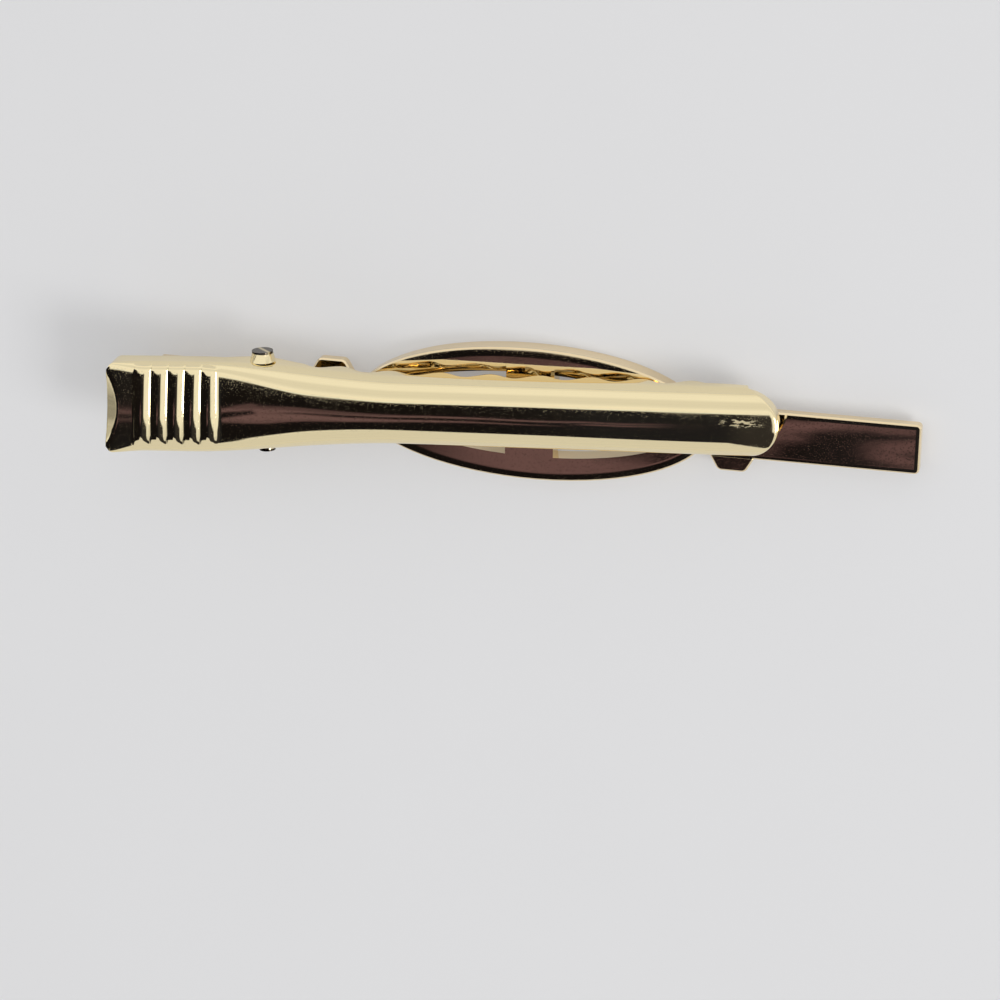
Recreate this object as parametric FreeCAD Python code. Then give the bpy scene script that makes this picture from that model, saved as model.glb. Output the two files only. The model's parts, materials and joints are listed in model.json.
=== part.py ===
import FreeCAD, Part
import math
import os

# Tie clip of the alligator kind. Lengths are in millimetres, angles in degrees.
# It lies on its decorated front: the origin is the middle of the front of the oval, +X runs from
# the thumb pad to the free end of the bar, and +Z points away from the front, towards the arm.

# Front bar, struck in one piece
BAR_LENGTH = 57.0
BAR_WIDTH = 3.7
BAR_CORNER = 0.35
BAR_THICKNESS = 0.95
EDGE_BREAK = 0.12
OVAL_LENGTH = 26.5
OVAL_WIDTH = 10.0
OVAL_BAND = 1.8
OVAL_RISE = 0.75
OVAL_FLAT = 12.0
STRUT_WIDTH = 3.6
LUG_OFFSET = 15.0
LUG_BASE = 3.2
LUG_TIP = 2.0
LUG_REACH = 2.9
LUG_CORNER = 0.5

# Hinge: a bent bracket soldered to the back of the bar, and a riveted pin
PIVOT_OFFSET = 19.4
PIVOT_HEIGHT = 2.3
HINGE_SKEW = 2.5
HINGE_SHIFT = 0.2
BRACKET_SHEET = 0.5
BRACKET_LENGTH = 5.6
BRACKET_BEND = 0.2
EAR_RADIUS = 1.1
PIN_DIAMETER = 1.2
HEAD_DIAMETER = 1.6
HEAD_HEIGHT = 0.95
TAIL_HEIGHT = 0.3
HEAD_DOME = 0.22
PRESS_CLEARANCE = 0.01
RUN_CLEARANCE = 0.05
SIDE_CLEARANCE = 0.08

# Torsion spring round the pin
WIRE = 0.55
COIL_DIAMETER = 1.95
COIL_TURNS = 2
COIL_EASE = 45.0
COIL_CLEARANCE = 0.15
LOWER_LEG = 2.6
UPPER_LEG = 5.5
LEG_CLEARANCE = 0.05

# Clip arm, pressed from sheet; its own frame has the pivot at the origin
SHEET = 0.45
NOSE_REACH = 38.0
NOSE_ROUND = 2.3
NOSE_RISE = 1.3
JAW_WIDTH = 5.1
JAW_SHOULDER = 1.58
SHOULDER_REACH = 4.0
WAIST_REACH = 10.8
NECK_REACH = 5.1
CROWN_HEIGHT = 1.9
CROWN_SWELL = 4.0
PAD_REACH = 11.5
PAD_WIDTH = 7.0
PAD_SHOULDER = 0.75
PAD_BEND = 3.4
PAD_BEND_REACH = 2.0
PAD_DEPTH = 2.0
PAD_LIP = 1.0
CORNER_SHOULDER = 0.25
CORNER_RUN = 2.4
CORNER_ROUND = 0.7
CORNER_TURN = 70.0
SCOOP_REACH = 0.9
SCOOP_WIDTH = 5.7
SCOOP_SLOPE = 32.0
RIB_COUNT = 5
RIB_PITCH = 1.25
RIB_WIDTH = 1.35
RIB_HEIGHT = 0.18
RIB_REACH = 6.25
RIB_OVERRUN = 0.1
RIB_CORNER = 0.4
LOBE_RADIUS = 1.15
TOOTH_DEPTH = 2.7
TOOTH_COUNT = 8
TOOTH_PITCH = 3.68
FIRST_TOOTH = 5.8
TOOTH_HEIGHT = 0.85
JAW_GAP = 0.06

# Room that a cutting solid stands proud of what it cuts, and the most of a wall that its edges take
BEYOND = 2.0
FULLEST_ROUND = 0.45

# Sections that the arm's pad corners and its neck are drawn through
CORNER_STEPS = 3
NECK_STEPS = 6

ORIGIN = FreeCAD.Vector(0, 0, 0)
ALONG_X = FreeCAD.Vector(1, 0, 0)
ALONG_Y = FreeCAD.Vector(0, 1, 0)
ALONG_Z = FreeCAD.Vector(0, 0, 1)


def line(start, end):
    return Part.LineSegment(start, end).toShape()


def arc(start, middle, end):
    return Part.Arc(start, middle, end).toShape()


def closed_polygon(points):
    return Part.makePolygon(points + points[:1])


def in_plan(x, y):
    return FreeCAD.Vector(x, y, 0)


def in_side(x, z):
    return FreeCAD.Vector(x, 0, z)


def across(face, half_width):
    """A face in the XZ plane, thickened to both sides along Y."""
    face.translate(-half_width * ALONG_Y)
    return face.extrude(2 * half_width * ALONG_Y)


def cross_cylinder(x, z, radius, half_width):
    """A cylinder along Y, centred on the middle plane."""
    start = FreeCAD.Vector(x, -half_width, z)
    return Part.makeCylinder(radius, 2 * half_width, start, ALONG_Y)


def edges_along(shape, direction):
    """The straight edges of a shape that run along one direction."""
    chosen = []
    for edge in shape.Edges:
        run = edge.Vertexes[-1].Point - edge.Vertexes[0].Point
        if run.Length > 0 and run.cross(direction).Length < 1e-6 * run.Length:
            chosen.append(edge)
    return chosen


def rim_edges(plate):
    """The edges round the front and the back face of a flat plate."""
    return [edge for edge in plate.Edges if edge.BoundBox.ZLength < 1e-6]


# Front bar: the bar and the oval are flush at the back, and the oval stands proud in front


def back_level():
    return OVAL_RISE + BAR_THICKNESS


def edge_break():
    """The bevel of the outer edges, as large as the bar and its corners let it be."""
    return min(EDGE_BREAK, FULLEST_ROUND * BAR_THICKNESS, 2 * FULLEST_ROUND * BAR_CORNER)


def rounded_bar():
    start = FreeCAD.Vector(-BAR_LENGTH / 2, -BAR_WIDTH / 2, OVAL_RISE)
    bar = Part.makeBox(BAR_LENGTH, BAR_WIDTH, BAR_THICKNESS, start)
    bar = bar.makeFillet(BAR_CORNER, edges_along(bar, ALONG_Z))
    return bar.makeChamfer(edge_break(), rim_edges(bar))


def oval_front():
    """The oval's side view: flat in the middle of the front, bowed back towards both ends."""
    end = OVAL_LENGTH / 2
    flat = OVAL_FLAT / 2
    bow = ((end - flat) ** 2 + OVAL_RISE ** 2) / (2 * OVAL_RISE)
    half_turn = math.asin((end - flat) / bow) / 2
    middle = flat + bow * math.sin(half_turn)
    height = bow * (1 - math.cos(half_turn))
    back = back_level()
    wire = Part.Wire([
        line(in_side(-flat, 0), in_side(flat, 0)),
        arc(in_side(flat, 0), in_side(middle, height), in_side(end, OVAL_RISE)),
        line(in_side(end, OVAL_RISE), in_side(end, back)),
        line(in_side(end, back), in_side(-end, back)),
        line(in_side(-end, back), in_side(-end, OVAL_RISE)),
        arc(in_side(-end, OVAL_RISE), in_side(-middle, height), in_side(-flat, 0)),
    ])
    return across(Part.Face(wire), OVAL_WIDTH)


def elliptic_block(length, width):
    outline = Part.Ellipse(ORIGIN, length / 2, width / 2).toShape()
    face = Part.Face(Part.Wire(outline))
    face.translate(-BEYOND * ALONG_Z)
    return face.extrude((back_level() + 2 * BEYOND) * ALONG_Z)


def ellipse_rim(shape, length, width):
    """The edges of a shape that follow an ellipse, seen from above."""
    chosen = []
    for edge in shape.Edges:
        point = edge.valueAt((edge.FirstParameter + edge.LastParameter) / 2)
        share = math.hypot(2 * point.x / length, 2 * point.y / width)
        if abs(share - 1) < 1e-6 and len(edges_along(edge, ALONG_Z)) == 0:
            chosen.append(edge)
    return chosen


def oval_band():
    """The elliptical band, with a bevelled rim and a pierced, sharp-edged middle."""
    hole_length = OVAL_LENGTH - 2 * OVAL_BAND
    hole_width = OVAL_WIDTH - 2 * OVAL_BAND
    disc = elliptic_block(OVAL_LENGTH, OVAL_WIDTH).common(oval_front())
    disc = disc.makeChamfer(edge_break(), ellipse_rim(disc, OVAL_LENGTH, OVAL_WIDTH))
    return disc.cut(elliptic_block(hole_length, hole_width))


def strut():
    """The short bar across the middle of the oval."""
    reach = (OVAL_WIDTH - OVAL_BAND) / 2
    start = FreeCAD.Vector(-STRUT_WIDTH / 2, -reach, 0)
    return Part.makeBox(STRUT_WIDTH, 2 * reach, back_level(), start).common(oval_front())


def lug_pair(centre):
    """Two tapered lugs, one on each side of the bar, as one plate through it."""
    half = [
        (centre - LUG_BASE / 2, BAR_WIDTH / 2),
        (centre - LUG_TIP / 2, LUG_REACH),
        (centre + LUG_TIP / 2, LUG_REACH),
        (centre + LUG_BASE / 2, BAR_WIDTH / 2),
    ]
    outline = [in_plan(x, y) for x, y in half] + [in_plan(x, -y) for x, y in reversed(half)]
    face = Part.Face(closed_polygon(outline))
    face.translate(OVAL_RISE * ALONG_Z)
    plate = face.extrude(BAR_THICKNESS * ALONG_Z)
    tips = [edge for edge in edges_along(plate, ALONG_Z) if abs(edge.CenterOfMass.y) > BAR_WIDTH / 2 + 1e-6]
    plate = plate.makeFillet(min(LUG_CORNER, FULLEST_ROUND * LUG_TIP), tips)
    return plate.makeChamfer(edge_break(), rim_edges(plate))


def front_bar():
    pieces = [oval_band(), strut(), lug_pair(-LUG_OFFSET), lug_pair(LUG_OFFSET)]
    return rounded_bar().fuse(pieces).removeSplitter()


# Clip arm: widths and heights along its length, in its own frame


def soft_ramp(distance, blend):
    """Zero on one side, the distance itself on the other, with a parabola between."""
    if distance <= -blend:
        return 0.0
    if distance >= blend:
        return distance
    return (distance + blend) ** 2 / (4 * blend)


def smooth_step(share):
    share = min(max(share, 0.0), 1.0)
    return share * share * (3 - 2 * share)


def along_neck(x):
    """How far along the neck x lies: none on the pad, all of it on the straight jaw."""
    return smooth_step((x + NECK_REACH) / (NECK_REACH + WAIST_REACH))


def arm_half_width(x):
    return (PAD_WIDTH + (JAW_WIDTH - PAD_WIDTH) * along_neck(x)) / 2


def arm_crown(x):
    rise = math.tan(math.radians(PAD_BEND))
    return CROWN_HEIGHT + rise * soft_ramp(-PAD_BEND_REACH - x, PAD_BEND_REACH)


def arm_shoulder(x):
    """The radius of the rounded shoulder: large on the jaw, small towards the corners of the pad."""
    to_jaw = smooth_step((x + NECK_REACH) / (NECK_REACH + SHOULDER_REACH))
    radius = PAD_SHOULDER + (JAW_SHOULDER - PAD_SHOULDER) * to_jaw
    to_corner = smooth_step((x + PAD_REACH) / CORNER_RUN)
    return CORNER_SHOULDER + (radius - CORNER_SHOULDER) * to_corner


def swell_radius(half, shoulder):
    """The radius of the crown's gentle arc, which runs on into the shoulders without a crease."""
    return (half - shoulder) / math.sin(math.radians(CROWN_SWELL)) + shoulder


def crown_fall(x, y):
    """How far the crown has fallen at y from its middle."""
    radius = swell_radius(arm_half_width(x), arm_shoulder(x))
    return radius - math.sqrt(radius ** 2 - y ** 2)


def arm_section(x, inset):
    """The channel's section at x, as a closed wire down to below the teeth."""
    half = arm_half_width(x) - inset
    crown = arm_crown(x) - inset
    radius = max(arm_shoulder(x) - inset, CORNER_SHOULDER / 2)
    swell = math.radians(CROWN_SWELL)
    bow = swell_radius(half, radius)
    centre = crown - bow + (bow - radius) * math.cos(swell)
    floor = -BEYOND - TOOTH_DEPTH

    def point(y, z):
        return FreeCAD.Vector(x, y, z)

    def on_shoulder(side, lean):
        return point(side * (half - radius + radius * math.sin(lean)), centre + radius * math.cos(lean))

    middle = (swell + math.pi / 2) / 2
    left_foot, right_foot = point(-half, floor), point(half, floor)
    left_wall, right_wall = point(-half, centre), point(half, centre)
    left_top, right_top = on_shoulder(-1, swell), on_shoulder(1, swell)
    return Part.Wire([
        line(left_foot, left_wall),
        arc(left_wall, on_shoulder(-1, middle), left_top),
        arc(left_top, point(0, crown), right_top),
        arc(right_top, on_shoulder(1, middle), right_wall),
        line(right_wall, right_foot),
        line(right_foot, left_foot),
    ])


def arm_body(start, inset):
    """The arm as a solid block from start to past the nose, drawn in by inset."""
    straight = WAIST_REACH + BEYOND / 2
    corner = CORNER_RUN - PAD_REACH - start
    pad_stations = [start + step * corner / CORNER_STEPS for step in range(CORNER_STEPS + 1)]
    neck = (straight - pad_stations[-1]) / NECK_STEPS
    neck_stations = [pad_stations[-1] + step * neck for step in range(1, NECK_STEPS + 1)]
    sections = [arm_section(x, inset) for x in pad_stations + neck_stations]
    neck_block = Part.makeLoft(sections, True, True)
    jaw_block = Part.Face(sections[-1]).extrude((NOSE_REACH + BEYOND - straight) * ALONG_X)
    return neck_block.fuse(jaw_block)


def tooth_level():
    return CROWN_HEIGHT - TOOTH_DEPTH


def lobe_tangent(x, z, turn):
    """Where the line from a point of the wall's edge touches the round of the pivot lobe."""
    angle = math.atan2(z, x) + turn * math.acos(LOBE_RADIUS / math.hypot(x, z))
    return in_side(LOBE_RADIUS * math.cos(angle), LOBE_RADIUS * math.sin(angle))


def tooth_wave():
    """The wavy edge of the jaw, from the first valley to the tip of the last tooth, as tangent arcs."""
    low = tooth_level()
    high = low + TOOTH_HEIGHT
    middle = (low + high) / 2
    quarter = TOOTH_PITCH / 4
    edges = []
    for step in range(TOOTH_COUNT):
        tip = FIRST_TOOTH + step * TOOTH_PITCH
        start = in_side(tip - 3 * quarter, middle)
        crossing = in_side(tip - quarter, middle)
        end = in_side(tip + quarter, middle)
        edges.append(arc(start, in_side(tip - 2 * quarter, high), crossing))
        edges.append(arc(crossing, in_side(tip, low), end))
    return edges


def arm_side_outline():
    """What the arm keeps, seen from the side: pad wall, pivot lobe, wavy jaw, nose."""
    pad_end = -PAD_REACH - BEYOND
    wave = tooth_wave()
    wave_start = wave[0].Vertexes[0].Point
    wave_end = wave[-1].Vertexes[-1].Point
    pad_corner = in_side(-wave_start.x, arm_crown(-wave_start.x) - PAD_DEPTH)
    lobe_start = lobe_tangent(pad_corner.x, pad_corner.z, 1)
    lobe_end = lobe_tangent(wave_start.x, wave_start.z, -1)
    top = arm_crown(pad_end) + BEYOND
    heel = in_side(pad_end, arm_crown(pad_end) - PAD_DEPTH)
    toe = in_side(NOSE_REACH + BEYOND, tooth_level() + NOSE_RISE)
    wire = Part.Wire([
        line(heel, pad_corner),
        line(pad_corner, lobe_start),
        arc(lobe_start, in_side(0, -LOBE_RADIUS), lobe_end),
        line(lobe_end, wave_start),
        *wave,
        line(wave_end, toe),
        line(toe, in_side(toe.x, top)),
        line(in_side(toe.x, top), in_side(pad_end, top)),
        line(in_side(pad_end, top), heel),
    ])
    return Part.Face(wire)


def nose_radius():
    return ((JAW_WIDTH / 2) ** 2 + NOSE_ROUND ** 2) / (2 * NOSE_ROUND)


def behind_nose():
    """Everything behind the inside of the nose, whose wall is one sheet thick."""
    centre = NOSE_REACH - nose_radius()
    depth = 2 * (BEYOND + TOOTH_DEPTH)
    side = PAD_WIDTH / 2 + BEYOND
    start = FreeCAD.Vector(centre, 0, -depth)
    round_end = Part.makeCylinder(nose_radius() - SHEET, 2 * depth, start, ALONG_Z)
    corner = FreeCAD.Vector(-PAD_REACH, -side, -depth)
    return Part.makeBox(centre + PAD_REACH, 2 * side, 2 * depth, corner).fuse(round_end)


def arm_plan():
    """What the arm keeps, seen from above: between the rounded nose and the round corners of the pad."""
    nose = nose_radius()
    centre = NOSE_REACH - nose
    side = PAD_WIDTH / 2 + BEYOND
    turn = math.radians(CORNER_TURN)
    back = -PAD_REACH
    square = PAD_WIDTH / 2 - CORNER_ROUND * math.sin(turn)

    def on_corner(lean):
        return back + CORNER_ROUND * (1 - math.cos(lean)), square + CORNER_ROUND * math.sin(lean)

    middle_x, middle_y = on_corner(turn / 2)
    corner_x, corner_y = on_corner(turn)
    wide_x = corner_x + (side - corner_y) * math.tan(turn)
    wire = Part.Wire([
        line(in_plan(wide_x, -side), in_plan(centre, -side)),
        line(in_plan(centre, -side), in_plan(centre, -nose)),
        arc(in_plan(centre, -nose), in_plan(NOSE_REACH, 0), in_plan(centre, nose)),
        line(in_plan(centre, nose), in_plan(centre, side)),
        line(in_plan(centre, side), in_plan(wide_x, side)),
        line(in_plan(wide_x, side), in_plan(corner_x, corner_y)),
        arc(in_plan(corner_x, corner_y), in_plan(middle_x, middle_y), in_plan(back, square)),
        line(in_plan(back, square), in_plan(back, -square)),
        arc(in_plan(back, -square), in_plan(middle_x, -middle_y), in_plan(corner_x, -corner_y)),
        line(in_plan(corner_x, -corner_y), in_plan(wide_x, -side)),
    ])
    depth = 2 * (BEYOND + TOOTH_DEPTH)
    face = Part.Face(wire)
    face.translate(-depth * ALONG_Z)
    return face.extrude(2 * depth * ALONG_Z)


def pad_scoop():
    """The cylinder that hollows the end of the pad between its two corners."""
    slope = math.radians(SCOOP_SLOPE)
    sag = SCOOP_REACH * math.sin(slope)
    radius = (SCOOP_WIDTH ** 2 / 4 + sag ** 2) / (2 * sag)
    brow = in_side(SCOOP_REACH - PAD_REACH, arm_crown(SCOOP_REACH - PAD_REACH))
    outwards = in_side(-math.sin(slope), math.cos(slope))
    downwards = in_side(-math.cos(slope), -math.sin(slope))
    length = 4 * BEYOND
    return Part.makeCylinder(radius, length, brow + radius * outwards - length / 2 * downwards, downwards)


def rib_plan(x):
    """The plan of one rib: a bar with cut corners, which overruns the flat of the crown a little."""
    half = arm_half_width(x) - arm_shoulder(x) + RIB_OVERRUN
    block = Part.makeBox(RIB_WIDTH, 2 * half, CROWN_HEIGHT + BEYOND, in_plan(x - RIB_WIDTH / 2, -half))
    return block.makeChamfer(min(RIB_CORNER, FULLEST_ROUND * RIB_WIDTH), edges_along(block, ALONG_Z))


def pad_ribs():
    """Round-backed ribs side by side across the pad, let into the crown."""
    radius = (RIB_WIDTH ** 2 / 4 + RIB_HEIGHT ** 2) / (2 * RIB_HEIGHT)
    ribs = []
    for step in range(RIB_COUNT):
        x = (step - (RIB_COUNT - 1) / 2) * RIB_PITCH - RIB_REACH
        back = cross_cylinder(x, arm_crown(x) + RIB_HEIGHT - radius, radius, PAD_WIDTH / 2)
        ribs.append(back.common(rib_plan(x)))
    return ribs


def jaw_dip():
    """How far the arm leans down towards the nose until its last tooth meets the bar."""
    x = FIRST_TOOTH + (TOOTH_COUNT - 1) * TOOTH_PITCH
    z = tooth_level()
    return math.degrees(math.asin((PIVOT_HEIGHT - JAW_GAP) / math.hypot(x, z)) + math.atan2(z, x))


def clip_arm():
    outside = arm_body(-PAD_REACH - BEYOND, 0)
    inside = arm_body(-PAD_REACH + PAD_LIP, SHEET).common(behind_nose())
    arm = outside.fuse(pad_ribs()).cut(inside)
    arm = arm.common(across(arm_side_outline(), PAD_WIDTH)).common(arm_plan())
    arm = arm.cut(pad_scoop())
    arm = arm.cut(cross_cylinder(0, 0, PIN_DIAMETER / 2 + RUN_CLEARANCE, PAD_WIDTH))
    arm.rotate(ORIGIN, ALONG_Y, jaw_dip())
    arm.translate(PIVOT_HEIGHT * ALONG_Z)
    return arm


# Hinge pieces, in the hinge's frame: origin on the back of the bar, under the pivot


def ear_outside():
    """Half the width over the ears: they stand just inside the walls of the arm."""
    return arm_half_width(BRACKET_LENGTH / 2) - SHEET - SIDE_CLEARANCE


def bracket_channel():
    """The bent strip: a U in section, extruded along the bar."""
    outer = ear_outside()
    inner = outer - BRACKET_SHEET
    bend = BRACKET_BEND + BRACKET_SHEET
    top = PIVOT_HEIGHT + EAR_RADIUS + BEYOND
    near = -BRACKET_LENGTH / 2
    share = 1 - math.cos(math.radians(45))

    def point(y, z):
        return FreeCAD.Vector(near, y, z)

    edges = [line(point(-outer, top), point(-outer, bend))]
    edges.append(arc(point(-outer, bend), point(bend * share - outer, bend * share), point(bend - outer, 0)))
    edges.append(line(point(bend - outer, 0), point(outer - bend, 0)))
    edges.append(arc(point(outer - bend, 0), point(outer - bend * share, bend * share), point(outer, bend)))
    edges.append(line(point(outer, bend), point(outer, top)))
    edges.append(line(point(outer, top), point(inner, top)))
    edges.append(line(point(inner, top), point(inner, bend)))
    bowl = BRACKET_BEND * share
    floor = BRACKET_SHEET
    flat = inner - BRACKET_BEND
    edges.append(arc(point(inner, bend), point(inner - bowl, floor + bowl), point(flat, floor)))
    edges.append(line(point(flat, floor), point(-flat, floor)))
    edges.append(arc(point(-flat, floor), point(bowl - inner, floor + bowl), point(-inner, bend)))
    edges.append(line(point(-inner, bend), point(-inner, top)))
    edges.append(line(point(-inner, top), point(-outer, top)))
    return Part.Face(Part.Wire(edges)).extrude(BRACKET_LENGTH * ALONG_X)


def ear_outline():
    """The side view of the bracket: a strip with a tapered, round-topped ear."""
    half = BRACKET_LENGTH / 2
    drop = BRACKET_SHEET - PIVOT_HEIGHT
    angle = math.atan2(drop, half) + math.acos(EAR_RADIUS / math.hypot(half, drop))
    x = EAR_RADIUS * math.cos(angle)
    z = PIVOT_HEIGHT + EAR_RADIUS * math.sin(angle)
    wire = Part.Wire([
        line(in_side(-half, 0), in_side(half, 0)),
        line(in_side(half, 0), in_side(half, BRACKET_SHEET)),
        line(in_side(half, BRACKET_SHEET), in_side(x, z)),
        arc(in_side(x, z), in_side(0, PIVOT_HEIGHT + EAR_RADIUS), in_side(-x, z)),
        line(in_side(-x, z), in_side(-half, BRACKET_SHEET)),
        line(in_side(-half, BRACKET_SHEET), in_side(-half, 0)),
    ])
    return Part.Face(wire)


def hinge_bracket():
    blank = bracket_channel().common(across(ear_outline(), PAD_WIDTH))
    bore = cross_cylinder(0, PIVOT_HEIGHT, PIN_DIAMETER / 2 + PRESS_CLEARANCE, PAD_WIDTH)
    return blank.cut(bore)


def hinge_pin():
    """The pin with its tall head and its short peened tail, turned from one half outline."""
    shank = PIN_DIAMETER / 2
    head = HEAD_DIAMETER / 2
    seat = arm_half_width(-head) + SIDE_CLEARANCE
    dome = (head ** 2 + HEAD_DOME ** 2) / (2 * HEAD_DOME)
    half_angle = math.asin(min(head / dome, 1.0)) / 2
    bulge_x, bulge_y = dome * math.sin(half_angle), dome * (1 - math.cos(half_angle))

    def end_edges(side, height):
        """From the shank out round one end, to the pin's own axis."""
        rim = seat + height - HEAD_DOME
        foot, corner = in_plan(shank, side * seat), in_plan(head, side * seat)
        brow, tip = in_plan(head, side * rim), in_plan(0, side * (seat + height))
        bulge = in_plan(bulge_x, side * (seat + height - bulge_y))
        return [line(foot, corner), line(corner, brow), arc(brow, bulge, tip)]

    upper = end_edges(1, HEAD_HEIGHT)
    lower = end_edges(-1, TAIL_HEIGHT)
    shank_side = line(in_plan(shank, -seat), in_plan(shank, seat))
    axis = line(in_plan(0, seat + HEAD_HEIGHT), in_plan(0, -seat - TAIL_HEIGHT))
    wire = Part.Wire([shank_side, *upper, axis, *reversed(lower)])
    pin = Part.Face(wire).revolve(ORIGIN, ALONG_Y, 360)
    pin.translate(PIVOT_HEIGHT * ALONG_Z)
    return pin


# Torsion spring, wound on biarcs of about half a turn


def leg_touch(x, z, turn):
    """The angle on the coil at which a straight leg from a tip at x, z leaves it."""
    return math.atan2(z, x) + turn * math.acos(COIL_DIAMETER / 2 / math.hypot(x, z))


def upper_tip():
    """The end of the upper leg, just under the sheet of the pad, seen from the pivot."""
    dip = math.radians(jaw_dip())
    x = -UPPER_LEG
    z = arm_crown(x) - crown_fall(x, coil_length() / 2) - SHEET - LEG_CLEARANCE - WIRE / 2
    return x * math.cos(dip) + z * math.sin(dip), z * math.cos(dip) - x * math.sin(dip)


def lower_tip():
    """The end of the lower leg, just over the floor of the bracket, seen from the pivot."""
    return -LOWER_LEG, BRACKET_SHEET + LEG_CLEARANCE + WIRE / 2 - PIVOT_HEIGHT


def coil_length():
    """The run of the wire's centre along the pin: the coil fills the room between the ears."""
    return 2 * (ear_outside() - BRACKET_SHEET - COIL_CLEARANCE) - WIRE


def coil_advance(turned, sweep):
    """How far the wire has moved along the pin, and how fast: its ends ease in and out."""
    ease = math.radians(COIL_EASE)
    rate = coil_length() / (sweep - ease)
    if turned < ease:
        return rate * turned ** 2 / (2 * ease), rate * turned / ease
    if turned > sweep - ease:
        left = sweep - turned
        return rate * (sweep - ease - left ** 2 / (2 * ease)), rate * left / ease
    return rate * (turned - ease / 2), rate


def biarc(start, start_way, end, end_way):
    """Two arcs, tangent to each other and to the given ways at both ends."""
    chord = end - start
    square = 2 * (1 - start_way.dot(end_way))
    linear = 2 * chord.dot(start_way + end_way)
    reach = (math.sqrt(linear ** 2 + 4 * square * chord.dot(chord)) - linear) / (2 * square)
    first_apex = start + reach * start_way
    last_apex = end - reach * end_way
    joint = (first_apex + last_apex) / 2
    edges = []
    for tail, apex, head in ((start, first_apex, joint), (joint, last_apex, end)):
        middle = (tail + head) / 2
        half_chord = (head - tail).Length / 2
        height = (apex - middle).Length
        bulge = half_chord * (reach - half_chord) / height
        edges.append(arc(tail, middle + (apex - middle) * (bulge / height), head))
    return edges


def spring_path():
    """The wire's centre line: lower leg, coil, upper leg."""
    radius = COIL_DIAMETER / 2
    low_x, low_z = lower_tip()
    high_x, high_z = upper_tip()
    first = leg_touch(low_x, low_z, 1)
    last = leg_touch(high_x, high_z, -1)
    sweep = (last - first) % (2 * math.pi) + 2 * math.pi * COIL_TURNS
    length = coil_length()
    steps = math.ceil(sweep / math.pi)
    points = []
    ways = []
    for step in range(steps + 1):
        turned = sweep * step / steps
        angle = first + turned
        along, rate = coil_advance(turned, sweep)
        x, z = radius * math.cos(angle), radius * math.sin(angle)
        points.append(FreeCAD.Vector(x, along - length / 2, PIVOT_HEIGHT + z))
        way = FreeCAD.Vector(-z, rate, x)
        ways.append(way.normalize())
    start = FreeCAD.Vector(low_x, -length / 2, PIVOT_HEIGHT + low_z)
    end = FreeCAD.Vector(high_x, length / 2, PIVOT_HEIGHT + high_z)
    edges = [line(start, points[0])]
    for step in range(steps):
        edges += biarc(points[step], ways[step], points[step + 1], ways[step + 1])
    edges.append(line(points[-1], end))
    return Part.Wire(edges)


def print_least_gap(path):
    """The wire's least gap to itself, measured between points along its centre line."""
    spacing = WIRE / 4
    points = path.discretize(Distance=spacing)
    apart = math.ceil(math.pi * COIL_DIAMETER / 2 / spacing)
    least = min(
        (points[low] - points[high]).Length
        for low in range(len(points) - apart)
        for high in range(low + apart, len(points))
    )
    print("torsion_spring least gap to itself: %.3f mm" % (least - WIRE))


def torsion_spring():
    path = spring_path()
    print_least_gap(path)
    start = path.Edges[0].Vertexes[0].Point
    way = path.Edges[0].tangentAt(path.Edges[0].FirstParameter)
    section = Part.Wire(Part.Circle(start, way, WIRE / 2).toShape())
    shell = Part.BRepOffsetAPI.MakePipeShell(path)
    shell.add(section, False, False)
    shell.build()
    shell.makeSolid()
    spring = shell.shape()
    print("torsion_spring volume over section times length: %.4f"
          % (spring.Volume / (math.pi * WIRE ** 2 / 4 * path.Length)))
    return spring


def on_bar(shape):
    """Sets a piece of the hinge on the back of the bar, at the hinge's place and skew."""
    seat = FreeCAD.Placement(
        FreeCAD.Vector(-PIVOT_OFFSET, -HINGE_SHIFT, back_level()), FreeCAD.Rotation(ALONG_Z, HINGE_SKEW)
    )
    shape.Placement = seat.multiply(shape.Placement)
    return shape


def main():
    nodes = {
        "front_bar": front_bar(),
        "hinge_bracket": on_bar(hinge_bracket()),
        "hinge_pin": on_bar(hinge_pin()),
        "torsion_spring": on_bar(torsion_spring()),
        "clip_arm": on_bar(clip_arm()),
    }
    os.makedirs("parts", exist_ok=True)
    for name, shape in nodes.items():
        shape.exportStep("parts/%s.step" % name)
        box = shape.optimalBoundingBox(True, False)
        print("%s: %d solid, valid %s, %.2f mm3, x %.2f..%.2f y %.2f..%.2f z %.2f..%.2f" % (
            name, len(shape.Solids), shape.isValid(), shape.Volume,
            box.XMin, box.XMax, box.YMin, box.YMax, box.ZMin, box.ZMax))


main()
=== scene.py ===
import json
import math

import bpy
from mathutils import Matrix, Vector


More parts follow.
